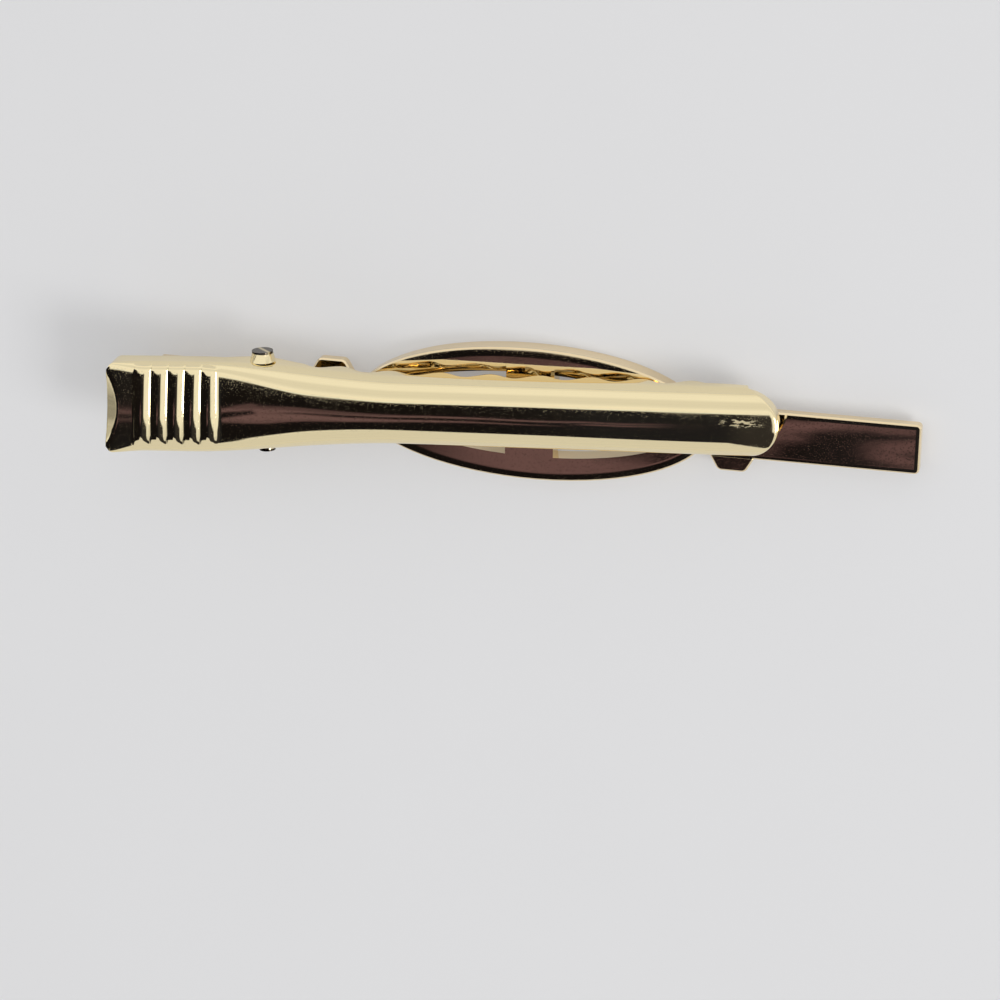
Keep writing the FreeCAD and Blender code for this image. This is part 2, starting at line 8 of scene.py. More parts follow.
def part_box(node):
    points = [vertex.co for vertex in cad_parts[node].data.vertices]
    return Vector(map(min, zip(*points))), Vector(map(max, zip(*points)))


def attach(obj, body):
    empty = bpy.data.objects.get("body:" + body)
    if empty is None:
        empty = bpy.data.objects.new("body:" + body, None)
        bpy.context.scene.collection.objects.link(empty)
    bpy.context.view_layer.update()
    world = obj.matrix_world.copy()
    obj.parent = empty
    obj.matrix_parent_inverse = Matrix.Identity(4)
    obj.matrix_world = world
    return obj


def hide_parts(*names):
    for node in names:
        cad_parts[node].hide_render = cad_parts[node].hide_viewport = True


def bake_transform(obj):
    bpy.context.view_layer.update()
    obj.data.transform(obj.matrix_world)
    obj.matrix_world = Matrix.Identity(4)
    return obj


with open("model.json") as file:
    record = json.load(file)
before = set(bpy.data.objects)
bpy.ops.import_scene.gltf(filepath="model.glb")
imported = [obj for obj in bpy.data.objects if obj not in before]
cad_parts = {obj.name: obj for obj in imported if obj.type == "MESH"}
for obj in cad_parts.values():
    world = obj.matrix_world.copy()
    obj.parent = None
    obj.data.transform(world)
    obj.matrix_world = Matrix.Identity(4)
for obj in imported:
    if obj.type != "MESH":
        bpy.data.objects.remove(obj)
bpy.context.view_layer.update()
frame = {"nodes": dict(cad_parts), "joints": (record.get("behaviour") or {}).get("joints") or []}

bl_info = {
    "name": "Tie Clip",
    "version": (1, 0, 0),
    "blender": (4, 5, 0),
    "location": "View3D > Sidebar > Tie Clip",
    "description": "Dresses a gold-plated tie clip: polished bar, pressed arm, hinge and wound spring",
    "category": "Object",
}

MM = 0.001
JOINT = frame["joints"][0]
PIVOT = Vector(JOINT["pos_m"])
PIN_WAY = -Vector(JOINT["axis"])
BAR_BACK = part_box("front_bar")[1].z


def length(label, description, millimetres):
    return bpy.props.FloatProperty(
        name=label, description=description, subtype="DISTANCE", unit="LENGTH", precision=5,
        default=millimetres * MM)


def angle(label, description, degrees):
    return bpy.props.FloatProperty(
        name=label, description=description, subtype="ANGLE", unit="ROTATION",
        default=math.radians(degrees))


def count(label, description, number):
    return bpy.props.IntProperty(name=label, description=description, min=1, default=number)


def share(label, description, value):
    return bpy.props.FloatProperty(
        name=label, description=description, subtype="FACTOR", min=0, max=1, default=value)


def colour(label, description, red, green, blue):
    return bpy.props.FloatVectorProperty(
        name=label, description=description, subtype="COLOR", size=3, min=0, max=1,
        default=(red, green, blue))


# Settings that a user would change


class PlatingSettings(bpy.types.PropertyGroup):
    """Colours and polish of the gold plating and the spring wire"""

    bar_tone: colour("Bar plating", "Colour of the gold plating on the front bar", 0.88, 0.72, 0.46)
    arm_tone: colour("Arm plating", "Colour of the paler gold plating on arm and pin", 0.93, 0.80, 0.50)
    hinge_tone: colour("Hinge plating", "Colour of the plating on the bracket", 0.80, 0.64, 0.38)
    # Painted dark reflection: the pin's ends are painted near black, in place of the dark reflection on
    # them
    painted_dark_tone: colour("Bare metal", "Colour of the worn ends of the pin", 0.05, 0.04, 0.03)
    wire_tone: colour("Spring wire", "Colour of the drawn steel wire", 0.50, 0.48, 0.45)
    polish: share("Polish", "Roughness of the polished plating", 0.035)
    hinge_polish: share("Hinge polish", "Roughness of the plating on the bracket", 0.22)
    rub_along: length("Rub along", "Where along the clip the rubbed patch on the nose lies", 15.9)
    rub_across: length("Rub across", "Where across the clip the rubbed patch on the nose lies", 1.66)
    rub_width: length("Rub width", "Half the width of the rubbed patch on the nose", 0.50)


class BarSettings(bpy.types.PropertyGroup):
    """Sizes of the struck bar that its finish follows, and how its edges are buffed over"""

    bar_length: length("Bar length", "Length of the bar", 57.0)
    bar_width: length("Bar width", "Width of the bar", 3.7)
    bar_buff: length("Bar buff", "How far in from its edges the bar is buffed over", 0.40)
    oval_length: length("Oval length", "Length of the pierced oval", 26.5)
    oval_width: length("Oval width", "Width of the pierced oval", 10.0)
    oval_band: length("Oval band", "Width of the band round the oval's openings", 1.8)
    strut_width: length("Strut width", "Width of the strut across the oval", 3.6)
    rim_buff: length("Rim buff", "How far in from its rim the oval is buffed over", 0.75)
    rim_lean: angle("Rim lean", "Lean of the buffed edges at the rims", 4.4)
    hole_buff: length("Opening buff", "How far out from the openings the far band is buffed over", 0.50)
    hole_lean: angle("Opening lean", "Lean of the buffed far band at the openings", 14.0)


class ArmSettings(bpy.types.PropertyGroup):
    """Sizes of the pressed arm, measured from the pivot along its length"""

    sheet: length("Sheet", "Thickness of the pressed sheet", 0.45)
    nose_reach: length("Nose reach", "From the pivot to the tip of the nose", 38.0)
    nose_round: length("Nose round", "How far the nose rounds off ahead of the straight sides", 2.3)
    nose_rise: length("Nose rise", "How far the lower edge climbs past the last tooth", 1.3)
    nose_bend: length("Nose bend", "Length of the stretch that dips towards the nose", 4.5)
    nose_dip: angle("Nose dip", "Slope of the crown at the tip of the nose", 5.0)
    nose_roll: length("Nose roll", "Radius of the rolled rim of the nose", 0.25)
    jaw_width: length("Jaw width", "Width over the straight jaw", 5.1)
    jaw_shoulder: length("Jaw shoulder", "Radius of the shoulders along the jaw", 1.58)
    shoulder_reach: length("Shoulder reach", "Where the shoulders are at their roundest", 4.0)
    waist_reach: length("Waist reach", "Where the neck ends and the jaw begins", 10.8)
    neck_reach: length("Neck reach", "Where the neck begins, behind the pivot", 5.1)
    crown_height: length("Crown height", "From the pivot up to the crown", 1.9)
    crown_swell: angle("Crown swell", "Lean of the crown where it meets the shoulders", 4.0)
    pad_reach: length("Pad reach", "From the pivot back to the end of the thumb pad", 11.5)
    pad_width: length("Pad width", "Width over the thumb pad", 7.0)
    pad_shoulder: length("Pad shoulder", "Radius of the shoulders along the pad", 0.75)
    pad_bias: share("Pad bias", "How much sharper the far shoulder of the pad is than the near one", 0.18)
    pad_bend: angle("Pad bend", "How far the pad is bent up", 3.4)
    pad_bend_reach: length("Pad bend reach", "Where the pad's bend lies, behind the pivot", 2.0)
    pad_depth: length("Pad depth", "Height of the walls of the pad", 2.0)
    pad_skew: angle("Pad skew", "How far the ribs and the end of the pad are out of square", 4.3)
    corner_shoulder: length("Corner shoulder", "Radius of the shoulders at the corners of the pad", 0.16)
    corner_run: length("Corner run", "Length over which the shoulders sharpen", 3.0)
    corner_round: length("Corner round", "Radius of the pad's corners, seen from above", 0.7)
    scoop_reach: length("Scoop reach", "Depth of the hollow in the end of the pad", 0.9)
    scoop_width: length("Scoop width", "Width of the hollow in the end of the pad", 5.7)
    scoop_slope: angle("Scoop slope", "Slope of the lip below the hollow", 32.0)
    scoop_brow: length("Scoop brow", "Rounding of the hollow's upper edge", 0.08)
    rib_count: count("Ribs", "Number of grip ribs", 5)
    rib_pitch: length("Rib pitch", "Distance from rib to rib", 1.25)
    rib_width: length("Rib width", "Width of one rib at its foot", 1.35)
    rib_height: length("Rib height", "Height of the ribs over the pad", 0.18)
    rib_reach: length("Rib reach", "From the pivot back to the middle rib", 6.25)
    rib_overrun: length("Rib overrun", "How far the ribs run on over the shoulders", 0.35)
    rib_shift: length("Rib shift", "How far the ribs sit off the middle, towards the far shoulder", 0.20)
    rib_corner: length("Rib corner", "Length over which the ends of the ribs die out", 0.28)
    lobe_radius: length("Lobe radius", "Radius of the wall round the pin", 1.15)
    tooth_depth: length("Tooth depth", "From the crown down to the tips of the teeth", 2.7)
    tooth_count: count("Teeth", "Number of waves along the jaw", 8)
    tooth_pitch: length("Tooth pitch", "Distance from tooth to tooth", 3.68)
    first_tooth: length("First tooth", "From the pivot to the first tooth", 5.8)
    tooth_height: length("Tooth height", "Height of the wave", 0.85)
    jaw_gap: length("Jaw gap", "Room between the last tooth and the bar", 0.06)
    pin_bore: length("Pin bore", "Diameter of the hole for the pin", 1.3)
    rim_round: length("Rim round", "Rounding of the cut edges of the sheet", 0.04)


class PinSettings(bpy.types.PropertyGroup):
    """Sizes of the riveted pin, measured from the pivot along the pin"""

    shank: length("Shank", "Diameter of the pin in the bores", 1.2)
    head_foot: length("Head foot", "Diameter of the head where it lies on the arm", 1.9)
    head_width: length("Head width", "Diameter of the head at its peened end", 1.56)
    head_start: length("Head start", "From the pivot to the foot of the head", 3.30)
    head_flare: length("Head flare", "Length of the flared part of the head", 0.62)
    head_reach: length("Head reach", "From the pivot to the peened end of the head", 4.08)
    tail_reach: length("Tail reach", "From the pivot to the peened tail", 3.54)
    peen: length("Peen", "Rounding of the two ends", 0.13)
    # Painted highlight: width of the bright plated line left across the painted dark head
    painted_highlight_width: length("Stake", "Width of the bright line that the staking tool left", 0.30)


class SpringSettings(bpy.types.PropertyGroup):
    """Sizes of the wound spring round the pin"""

    wire: length("Wire", "Diameter of the wire", 0.55)
    coil: length("Coil", "Diameter of the coil, from wire centre to wire centre", 1.95)
    turns: count("Turns", "Whole turns round the pin", 2)
    ease: angle("Ease", "Turn over which the ends of the coil straighten", 45.0)
    run: length("Run", "Length of the coil along the pin", 3.15)
    lower_leg: length("Lower leg", "Reach of the leg on the bracket", 2.6)
    lower_drop: length("Lower drop", "How far the lower leg's tip lies under the pin", 1.475)
    upper_leg: length("Upper leg", "Reach of the leg under the pad", 5.5)
    upper_rise: length("Upper rise", "How far the upper leg's tip lies over the pin, in the arm", 1.30)


class StageSettings(bpy.types.PropertyGroup):
    """The table, the room that the metal mirrors, the window's light and the camera"""

    table_tone: colour("Table", "Colour of the plain pale table", 0.80, 0.80, 0.81)
    table_lift: share("Table lift", "How much of the table's paleness shows in the shadows too", 0.33)
    room_light: share("Room light", "Light of the pale room where it is brightest", 0.93)
    hood_left: colour("Hood left", "Colour of the dark side overhead, on its left", 0.007, 0.006, 0.007)
    hood_middle: colour("Hood middle", "Colour of the dark side, in its middle", 0.013, 0.013, 0.017)
    hood_right: colour("Hood right", "Colour of the dark side, on its right", 0.030, 0.028, 0.030)
    hood_warm: colour("Hood warm", "Colour of the warm streaks in the dark side", 0.15, 0.092, 0.118)
    window_size: length("Window size", "Width and height of the window", 350.0)
    window_right: length("Window right", "How far right of the clip the window stands", 740.0)
    window_near: length("Window near", "How far on the near side of the clip the window stands", 200.0)
    window_up: length("Window up", "How far above the table the window stands", 640.0)
    window_power: bpy.props.FloatProperty(
        name="Window power", description="Power of the window's light", unit="POWER", default=3.6)
    tilt: angle("Camera tilt", "How far the camera leans towards +Y from straight above", 20.0)
    side: angle("Camera side", "How far the camera leans towards +X from straight above", 13.4)
    roll: angle("Camera roll", "Turn of the picture about the line of sight", 0.9)
    distance: length("Camera distance", "From the camera to the back of the bar", 250.0)
    view_width: length("View width", "Width of the picture at the back of the bar", 72.8)
    aim_right: length("Clip to the right", "How far the clip sits right of the picture's middle", 2.15)
    aim_up: length("Clip upwards", "How far the clip sits above the picture's middle", 6.21)


# Shader helpers


def link(tree, source, target):
    tree.links.new(source, target)


def new_group(name, inputs, outputs):
    """A shader node group with named sockets: inputs have a name, a kind and a default."""
    group = bpy.data.node_groups.new(name, "ShaderNodeTree")
    for label, kind, default in inputs:
        socket = group.interface.new_socket(label, in_out="INPUT", socket_type=kind)
        socket.default_value = default
    for label, kind in outputs:
        group.interface.new_socket(label, in_out="OUTPUT", socket_type=kind)
    return group, group.nodes.new("NodeGroupInput"), group.nodes.new("NodeGroupOutput")


def calc(tree, operation, first, second=None):
    """One step of arithmetic on sockets or numbers."""
    node = tree.nodes.new("ShaderNodeMath")
    node.operation = operation
    for socket, value in zip(node.inputs, (first, second)):
        if isinstance(value, bpy.types.NodeSocket):
            link(tree, value, socket)
        elif value is not None:
            socket.default_value = value
    return node.outputs[0]


def product(tree, *factors):
    total = factors[0]
    for factor in factors[1:]:
        total = calc(tree, "MULTIPLY", total, factor)
    return total


def add(tree, *terms):
    total = terms[0]
    for term in terms[1:]:
        total = calc(tree, "ADD", total, term)
    return total


def minus(tree, first, second):
    return calc(tree, "SUBTRACT", first, second)


def object_place(tree):
    return tree.nodes.new("ShaderNodeTexCoord").outputs["Object"]


def split(tree, vector):
    node = tree.nodes.new("ShaderNodeSeparateXYZ")
    link(tree, vector, node.inputs["Vector"])
    return [node.outputs[axis] for axis in "XYZ"]


def new_material(name, **plain_values):
    """A material, its tree and its shader, whose plain values are set on its own sockets."""
    material = bpy.data.materials.new(name)
    material.use_nodes = True
    shader = material.node_tree.nodes["Principled BSDF"]
    for label, value in plain_values.items():
        shader.inputs[label].default_value = value
    return material, material.node_tree, shader


def fed_socket(material, label):
    """A socket of the material's shader, and what feeds it so far."""
    socket = material.node_tree.nodes["Principled BSDF"].inputs[label]
    return socket, socket.links[0].from_socket


def noise(tree, vector, scale, detail=2.0, roughness=0.5):
    node = tree.nodes.new("ShaderNodeTexNoise")
    node.inputs["Scale"].default_value = scale
    node.inputs["Detail"].default_value = detail
    node.inputs["Roughness"].default_value = roughness
    link(tree, vector, node.inputs["Vector"])
    return node.outputs["Fac"]


def step(tree, value, start, end):
    """A smooth step from 0 at start to 1 at end, whichever is the greater."""
    node = tree.nodes.new("ShaderNodeMapRange")
    node.interpolation_type = "SMOOTHSTEP"
    link(tree, value, node.inputs["Value"])
    node.inputs["From Min"].default_value = min(start, end)
    node.inputs["From Max"].default_value = max(start, end)
    node.inputs["To Min"].default_value = 0.0 if start < end else 1.0
    node.inputs["To Max"].default_value = 1.0 if start < end else 0.0
    return node.outputs["Result"]


def ramp(tree, value, start, end, low, high):
    """A straight run from low to high as the value goes from start to end."""
    node = tree.nodes.new("ShaderNodeMapRange")
    link(tree, value, node.inputs["Value"])
    node.inputs["From Min"].default_value = start
    node.inputs["From Max"].default_value = end
    node.inputs["To Min"].default_value = low
    node.inputs["To Max"].default_value = high
    return node.outputs["Result"]


def blend(tree, share_of_second, first, second):
    """Mixes two colours, each a socket or red, green and blue."""
    node = tree.nodes.new("ShaderNodeMix")
    node.data_type = "RGBA"
    sockets = {entry.identifier: entry for entry in node.inputs}
    link(tree, share_of_second, sockets["Factor_Float"])
    for socket, value in ((sockets["A_Color"], first), (sockets["B_Color"], second)):
        if isinstance(value, bpy.types.NodeSocket):
            link(tree, value, socket)
        else:
            socket.default_value = (*value, 1.0)
    return next(entry for entry in node.outputs if entry.identifier == "Result_Color")


def stretched(tree, vector, x, y, z):
    node = tree.nodes.new("ShaderNodeMapping")
    link(tree, vector, node.inputs["Vector"])
    node.inputs["Scale"].default_value = (x, y, z)
    return node.outputs["Vector"]


# Shared effects: scales are in cells to the metre, and an edge runs from its start to its end

SCRATCH_SCALE = 2600.0
SCRATCH_STRETCH = 0.05
SCRATCH_EDGE = (0.012, 0.0)
SCRATCH_DULLING = 0.20
SCRATCHED_SCALE = 260.0
SCRATCHED_EDGE = (0.50, 0.70)
PINHOLE_SCALE = 9000.0
PINHOLE_CHANCE = (0.10, 0.95)
PINHOLE_EDGE = (0.42, 0.10)
PINHOLE_DULLING = 0.17
PINHOLE_DEPTH = 2.0
SMEAR_SCALE = 190.0
SMEAR_EDGE = (0.45, 0.80)
SWELL_SCALE = 240.0
SWELL_STRETCH = 0.35
PEEL_SCALE = 1500.0
PEEL_STRETCH = 0.5


def handling_group():
    """Hairline scratches, pinholes and smears of a plated piece that has been handled."""
    name = "Handling marks"
    if name in bpy.data.node_groups:
        return bpy.data.node_groups[name]
    tree, start, end = new_group(
        name,
        [
            ("Vector", "NodeSocketVector", (0, 0, 0)),
            ("Scratches", "NodeSocketFloat", 1.0),
            ("Pinholes", "NodeSocketFloat", 1.0),
            ("Smears", "NodeSocketFloat", 1.0),
        ],
        [(label, "NodeSocketFloat") for label in ("Roughness", "Height", "Dulling")],
    )
    place = start.outputs["Vector"]
    fine = noise(tree, stretched(tree, place, SCRATCH_STRETCH, 1.0, 1.0), SCRATCH_SCALE)
    off_middle = calc(tree, "ABSOLUTE", minus(tree, fine, 0.5))
    patchy = step(tree, noise(tree, place, SCRATCHED_SCALE), *SCRATCHED_EDGE)
    scratch = product(tree, step(tree, off_middle, *SCRATCH_EDGE), patchy, start.outputs["Scratches"])

    cells = tree.nodes.new("ShaderNodeTexVoronoi")
    cells.inputs["Scale"].default_value = PINHOLE_SCALE
    link(tree, place, cells.inputs["Vector"])
    chance = tree.nodes.new("ShaderNodeSeparateColor")
    link(tree, cells.outputs["Color"], chance.inputs["Color"])
    rare = step(tree, chance.outputs["Red"], *PINHOLE_CHANCE)
    dot = step(tree, cells.outputs["Distance"], *PINHOLE_EDGE)
    pinhole = product(tree, dot, rare, start.outputs["Pinholes"])

    cloud = step(tree, noise(tree, place, SMEAR_SCALE, detail=4.0, roughness=0.6), *SMEAR_EDGE)
    smear = product(tree, cloud, start.outputs["Smears"])

    scratched = product(tree, scratch, SCRATCH_DULLING)
    pitted = product(tree, pinhole, PINHOLE_DULLING)
    link(tree, add(tree, scratched, pitted, smear), end.inputs["Roughness"])
    depth = add(tree, scratch, product(tree, pinhole, PINHOLE_DEPTH))
    link(tree, product(tree, depth, -1.0), end.inputs["Height"])
    link(tree, smear, end.inputs["Dulling"])
    return tree


def polish_group():
    """The slow swell that buffing leaves in a polished face, and the finer peel over it."""
    name = "Buffed swell"
    if name in bpy.data.node_groups:
        return bpy.data.node_groups[name]
    tree, start, end = new_group(
        name,
        [
            ("Vector", "NodeSocketVector", (0, 0, 0)),
            ("Swell", "NodeSocketFloat", 1.0),
            ("Peel", "NodeSocketFloat", 1.0),
        ],
        [("Height", "NodeSocketFloat")],
    )
    place = start.outputs["Vector"]
    swell = noise(tree, stretched(tree, place, SWELL_STRETCH, 1.0, 1.0), SWELL_SCALE, detail=1.0)
    peel = noise(tree, stretched(tree, place, PEEL_STRETCH, 1.0, 1.0), PEEL_SCALE)
    swell = product(tree, swell, start.outputs["Swell"])
    peel = product(tree, peel, start.outputs["Peel"])
    link(tree, add(tree, swell, peel), end.inputs["Height"])
    return tree


def use_group(tree, group, vector, values):
    node = tree.nodes.new("ShaderNodeGroup")
    node.node_tree = group
    link(tree, vector, node.inputs["Vector"])
    for name, value in values.items():
        node.inputs[name].default_value = value
    return node.outputs


def bumped(tree, height, distance, strength, under=None):
    node = tree.nodes.new("ShaderNodeBump")
    node.inputs["Strength"].default_value = strength
    node.inputs["Distance"].default_value = distance
    link(tree, height, node.inputs["Height"])
    if under is not None:
        link(tree, under, node.inputs["Normal"])
    return node.outputs["Normal"]


# Finishes: scales are in cells to the metre, and the painted dark reflection on the pin's ends is
# measured in roundings of its ends

BUFFING_DEPTH = 0.02 * MM
HANDLING_DEPTH = 0.004 * MM
HANDLING_STRENGTH = 0.06
SMEARED_TONE = (0.86, 0.82, 0.78)
# Painted dark reflection on the pin's head and tail, and a painted highlight line across the head
HEAD_PAINTED_DARK = (1.4, 1.0)
TAIL_PAINTED_DARK = (1.6, 1.2)
PAINTED_HIGHLIGHT_SHARE = 0.7
RUB_STRETCH = 0.24
RUB_CORE = 0.3
RUB_LINE_STRETCH = 0.28
RUB_LINE_SCALE = 6500.0
RUB_LINE_EDGE = (0.50, 0.58)
RUB_DULLING = 0.36
WIRE_STRETCH = 4.0
WIRE_SCALE = 2600.0
WIRE_SHADE = 0.7
WIRE_POLISH = 0.2
WIRE_GRAIN = 0.2
WIRE_GRAIN_DEPTH = 0.004 * MM
WIRE_GRAIN_STRENGTH = 0.4


def plated_metal(name, tone, roughness, marks, swell):
    """Polished plating over brass, with the marks of handling in its gloss."""
    material, tree, shader = new_material(name, Metallic=1.0)
    place = object_place(tree)
    handled = use_group(tree, handling_group(), place, marks)
    link(tree, add(tree, handled["Roughness"], roughness), shader.inputs["Roughness"])
    smeared = tuple(channel * kept for channel, kept in zip(tone, SMEARED_TONE))
    link(tree, blend(tree, handled["Dulling"], tone, smeared), shader.inputs["Base Color"])
    buffed = use_group(tree, polish_group(), place, swell)
    normal = bumped(tree, buffed["Height"], BUFFING_DEPTH, strength=1.0)
    normal = bumped(tree, handled["Height"], HANDLING_DEPTH, HANDLING_STRENGTH, normal)
    link(tree, normal, shader.inputs["Normal"])
    return material


def buffed_fall(tree, depth, width, lean):
    """How far a face has been buffed down, by the distance in from its edge."""
    short = calc(tree, "MAXIMUM", minus(tree, width, depth), 0.0)
    return product(tree, short, short, math.tan(lean) / (2 * width))


def ellipse_depth(tree, x, y, length_over, width_over):
    """The distance in from an ellipse, below zero outside it."""
    half_x, half_y = length_over / 2, width_over / 2
    along = calc(tree, "POWER", product(tree, x, 1 / half_x), 2.0)
    across = calc(tree, "POWER", product(tree, y, 1 / half_y), 2.0)
    steep_x = calc(tree, "POWER", product(tree, x, 1 / half_x ** 2), 2.0)
    steep_y = calc(tree, "POWER", product(tree, y, 1 / half_y ** 2), 2.0)
    steep = calc(tree, "SQRT", add(tree, steep_x, steep_y))
    inside = minus(tree, 1.0, add(tree, along, across))
    return calc(tree, "DIVIDE", inside, product(tree, steep, 2.0))


def buffed_edges(tree, place, sizes):
    """The height that buffing took off the edges of the oval, its openings and the bar."""
    right, far, _ = split(tree, place)
    x, y = calc(tree, "ABSOLUTE", right), calc(tree, "ABSOLUTE", far)
    beside_bar = calc(tree, "GREATER_THAN", y, sizes.bar_width / 2)
    beside_strut = calc(tree, "GREATER_THAN", x, sizes.strut_width / 2)
    far_side = calc(tree, "GREATER_THAN", far, 0.0)
    rim_depth = ellipse_depth(tree, x, y, sizes.oval_length, sizes.oval_width)
    in_oval = calc(tree, "GREATER_THAN", rim_depth, 0.0)
    rim = buffed_fall(tree, rim_depth, sizes.rim_buff, sizes.rim_lean)
    rim = product(tree, rim, in_oval, beside_bar)
    hole_depth = ellipse_depth(
        tree, x, y, sizes.oval_length - 2 * sizes.oval_band, sizes.oval_width - 2 * sizes.oval_band)
    hole = buffed_fall(tree, product(tree, hole_depth, -1.0), sizes.hole_buff, sizes.hole_lean)
    hole = product(tree, hole, in_oval, beside_bar, beside_strut, far_side)
    side_depth = minus(tree, sizes.bar_width / 2, y)
    end_depth = minus(tree, sizes.bar_length / 2, x)
    side = buffed_fall(tree, side_depth, sizes.bar_buff, sizes.rim_lean)
    end = buffed_fall(tree, end_depth, sizes.bar_buff, sizes.rim_lean)
    bar = product(tree, add(tree, side, end), minus(tree, 1.0, in_oval), minus(tree, 1.0, beside_bar))
    return product(tree, add(tree, rim, hole, bar), -1.0)


def struck_plating(look, sizes):
    """The bar's plating: polished metal whose edges are buffed over."""
    material = plated_metal(
        "Front plating", look.bar_tone, look.polish,
        {"Scratches": 0.15, "Pinholes": 0.8, "Smears": 0.04}, {"Swell": 1.8, "Peel": 0.03})
    tree = material.node_tree
    normal, under = fed_socket(material, "Normal")
    height = buffed_edges(tree, object_place(tree), sizes)
    link(tree, bumped(tree, height, distance=1.0, strength=1.0, under=under), normal)
    return material


def riveted_plating(look, sizes):
    """The pin's plating, with a painted dark reflection in near black on its two peened ends, but for a
    painted highlight line across the head.
    """
    material = plated_metal(
        "Pin plating", look.arm_tone, look.polish,
        {"Scratches": 0.3, "Pinholes": 0.8, "Smears": 0.1}, {"Swell": 0.3, "Peel": 0.1})
    tree = material.node_tree
    x, y, z = split(tree, object_place(tree))
    head, tail = PIVOT.y + sizes.head_reach, PIVOT.y - sizes.tail_reach
    # Painted dark reflection: the head and tail are blended to near black
    top = step(tree, y, *(head - roundings * sizes.peen for roundings in HEAD_PAINTED_DARK))
    foot = step(tree, y, *(tail + roundings * sizes.peen for roundings in TAIL_PAINTED_DARK))
    slant = calc(tree, "ABSOLUTE", minus(tree, minus(tree, x, PIVOT.x), minus(tree, z, PIVOT.z)))
    # Painted highlight: a diagonal line across the head is kept in the bright plated tone
    painted_highlight = product(tree, step(tree, slant, sizes.painted_highlight_width, 0.0), PAINTED_HIGHLIGHT_SHARE)
    painted_dark = calc(tree, "MAXIMUM", product(tree, top, minus(tree, 1.0, painted_highlight)), foot)
    tone, plated = fed_socket(material, "Base Color")
    link(tree, blend(tree, painted_dark, plated, look.painted_dark_tone), tone)
    return material


def rubbed_plating(look):
    """The arm's plating, with the scuffs that the nose gets from the cloth."""
    material = plated_metal(
        "Arm plating", look.arm_tone, look.polish,
        {"Scratches": 0.04, "Pinholes": 1.0, "Smears": 0.04}, {"Swell": 2.5, "Peel": 0.02})
    tree = material.node_tree
    place = object_place(tree)
    off_patch = tree.nodes.new("ShaderNodeVectorMath")
    off_patch.operation = "DISTANCE"
    link(tree, stretched(tree, place, RUB_STRETCH, 1.0, 0.0), off_patch.inputs[0])
    off_patch.inputs[1].default_value = (RUB_STRETCH * look.rub_along, look.rub_across, 0.0)
    patch = step(tree, off_patch.outputs["Value"], look.rub_width, RUB_CORE * look.rub_width)
    grain = noise(tree, stretched(tree, place, RUB_LINE_STRETCH, 1.0, 1.0), RUB_LINE_SCALE, detail=3.0)
    lines = step(tree, grain, *RUB_LINE_EDGE)
    rough, polished = fed_socket(material, "Roughness")
    link(tree, add(tree, polished, product(tree, patch, lines, RUB_DULLING)), rough)
    return material


def drawn_wire(name, tone):
    """Steel wire with the faint lines of the drawing die along it."""
    material, tree, shader = new_material(name, Metallic=1.0)
    place = stretched(tree, object_place(tree), 1.0, WIRE_STRETCH, 1.0)
    grain = noise(tree, place, WIRE_SCALE, detail=3.0)
    dark = tuple(channel * WIRE_SHADE for channel in tone)
    link(tree, blend(tree, grain, dark, tone), shader.inputs["Base Color"])
    link(tree, add(tree, product(tree, grain, WIRE_GRAIN), WIRE_POLISH), shader.inputs["Roughness"])
    link(tree, bumped(tree, grain, WIRE_GRAIN_DEPTH, WIRE_GRAIN_STRENGTH), shader.inputs["Normal"])
    return material


def dress(node, material):
    """Gives a CAD node its finish without touching its mesh."""
    for entry in frame["nodes"][node].material_slots:
        entry.link = "OBJECT"
        entry.material = material


# The arm's form, in its own frame: the pivot at the origin, +X towards the nose, +Z over the crown

WAVE_LEAD = 0.75


def soft_ramp(distance, rounding):
    """Zero on one side, the distance itself on the other, with a parabola between."""
    if distance <= -rounding:
        return 0.0
    if distance >= rounding:
        return distance
    return (distance + rounding) ** 2 / (4 * rounding)


def smooth_step(portion):
    portion = min(max(portion, 0.0), 1.0)
    return portion * portion * (3 - 2 * portion)


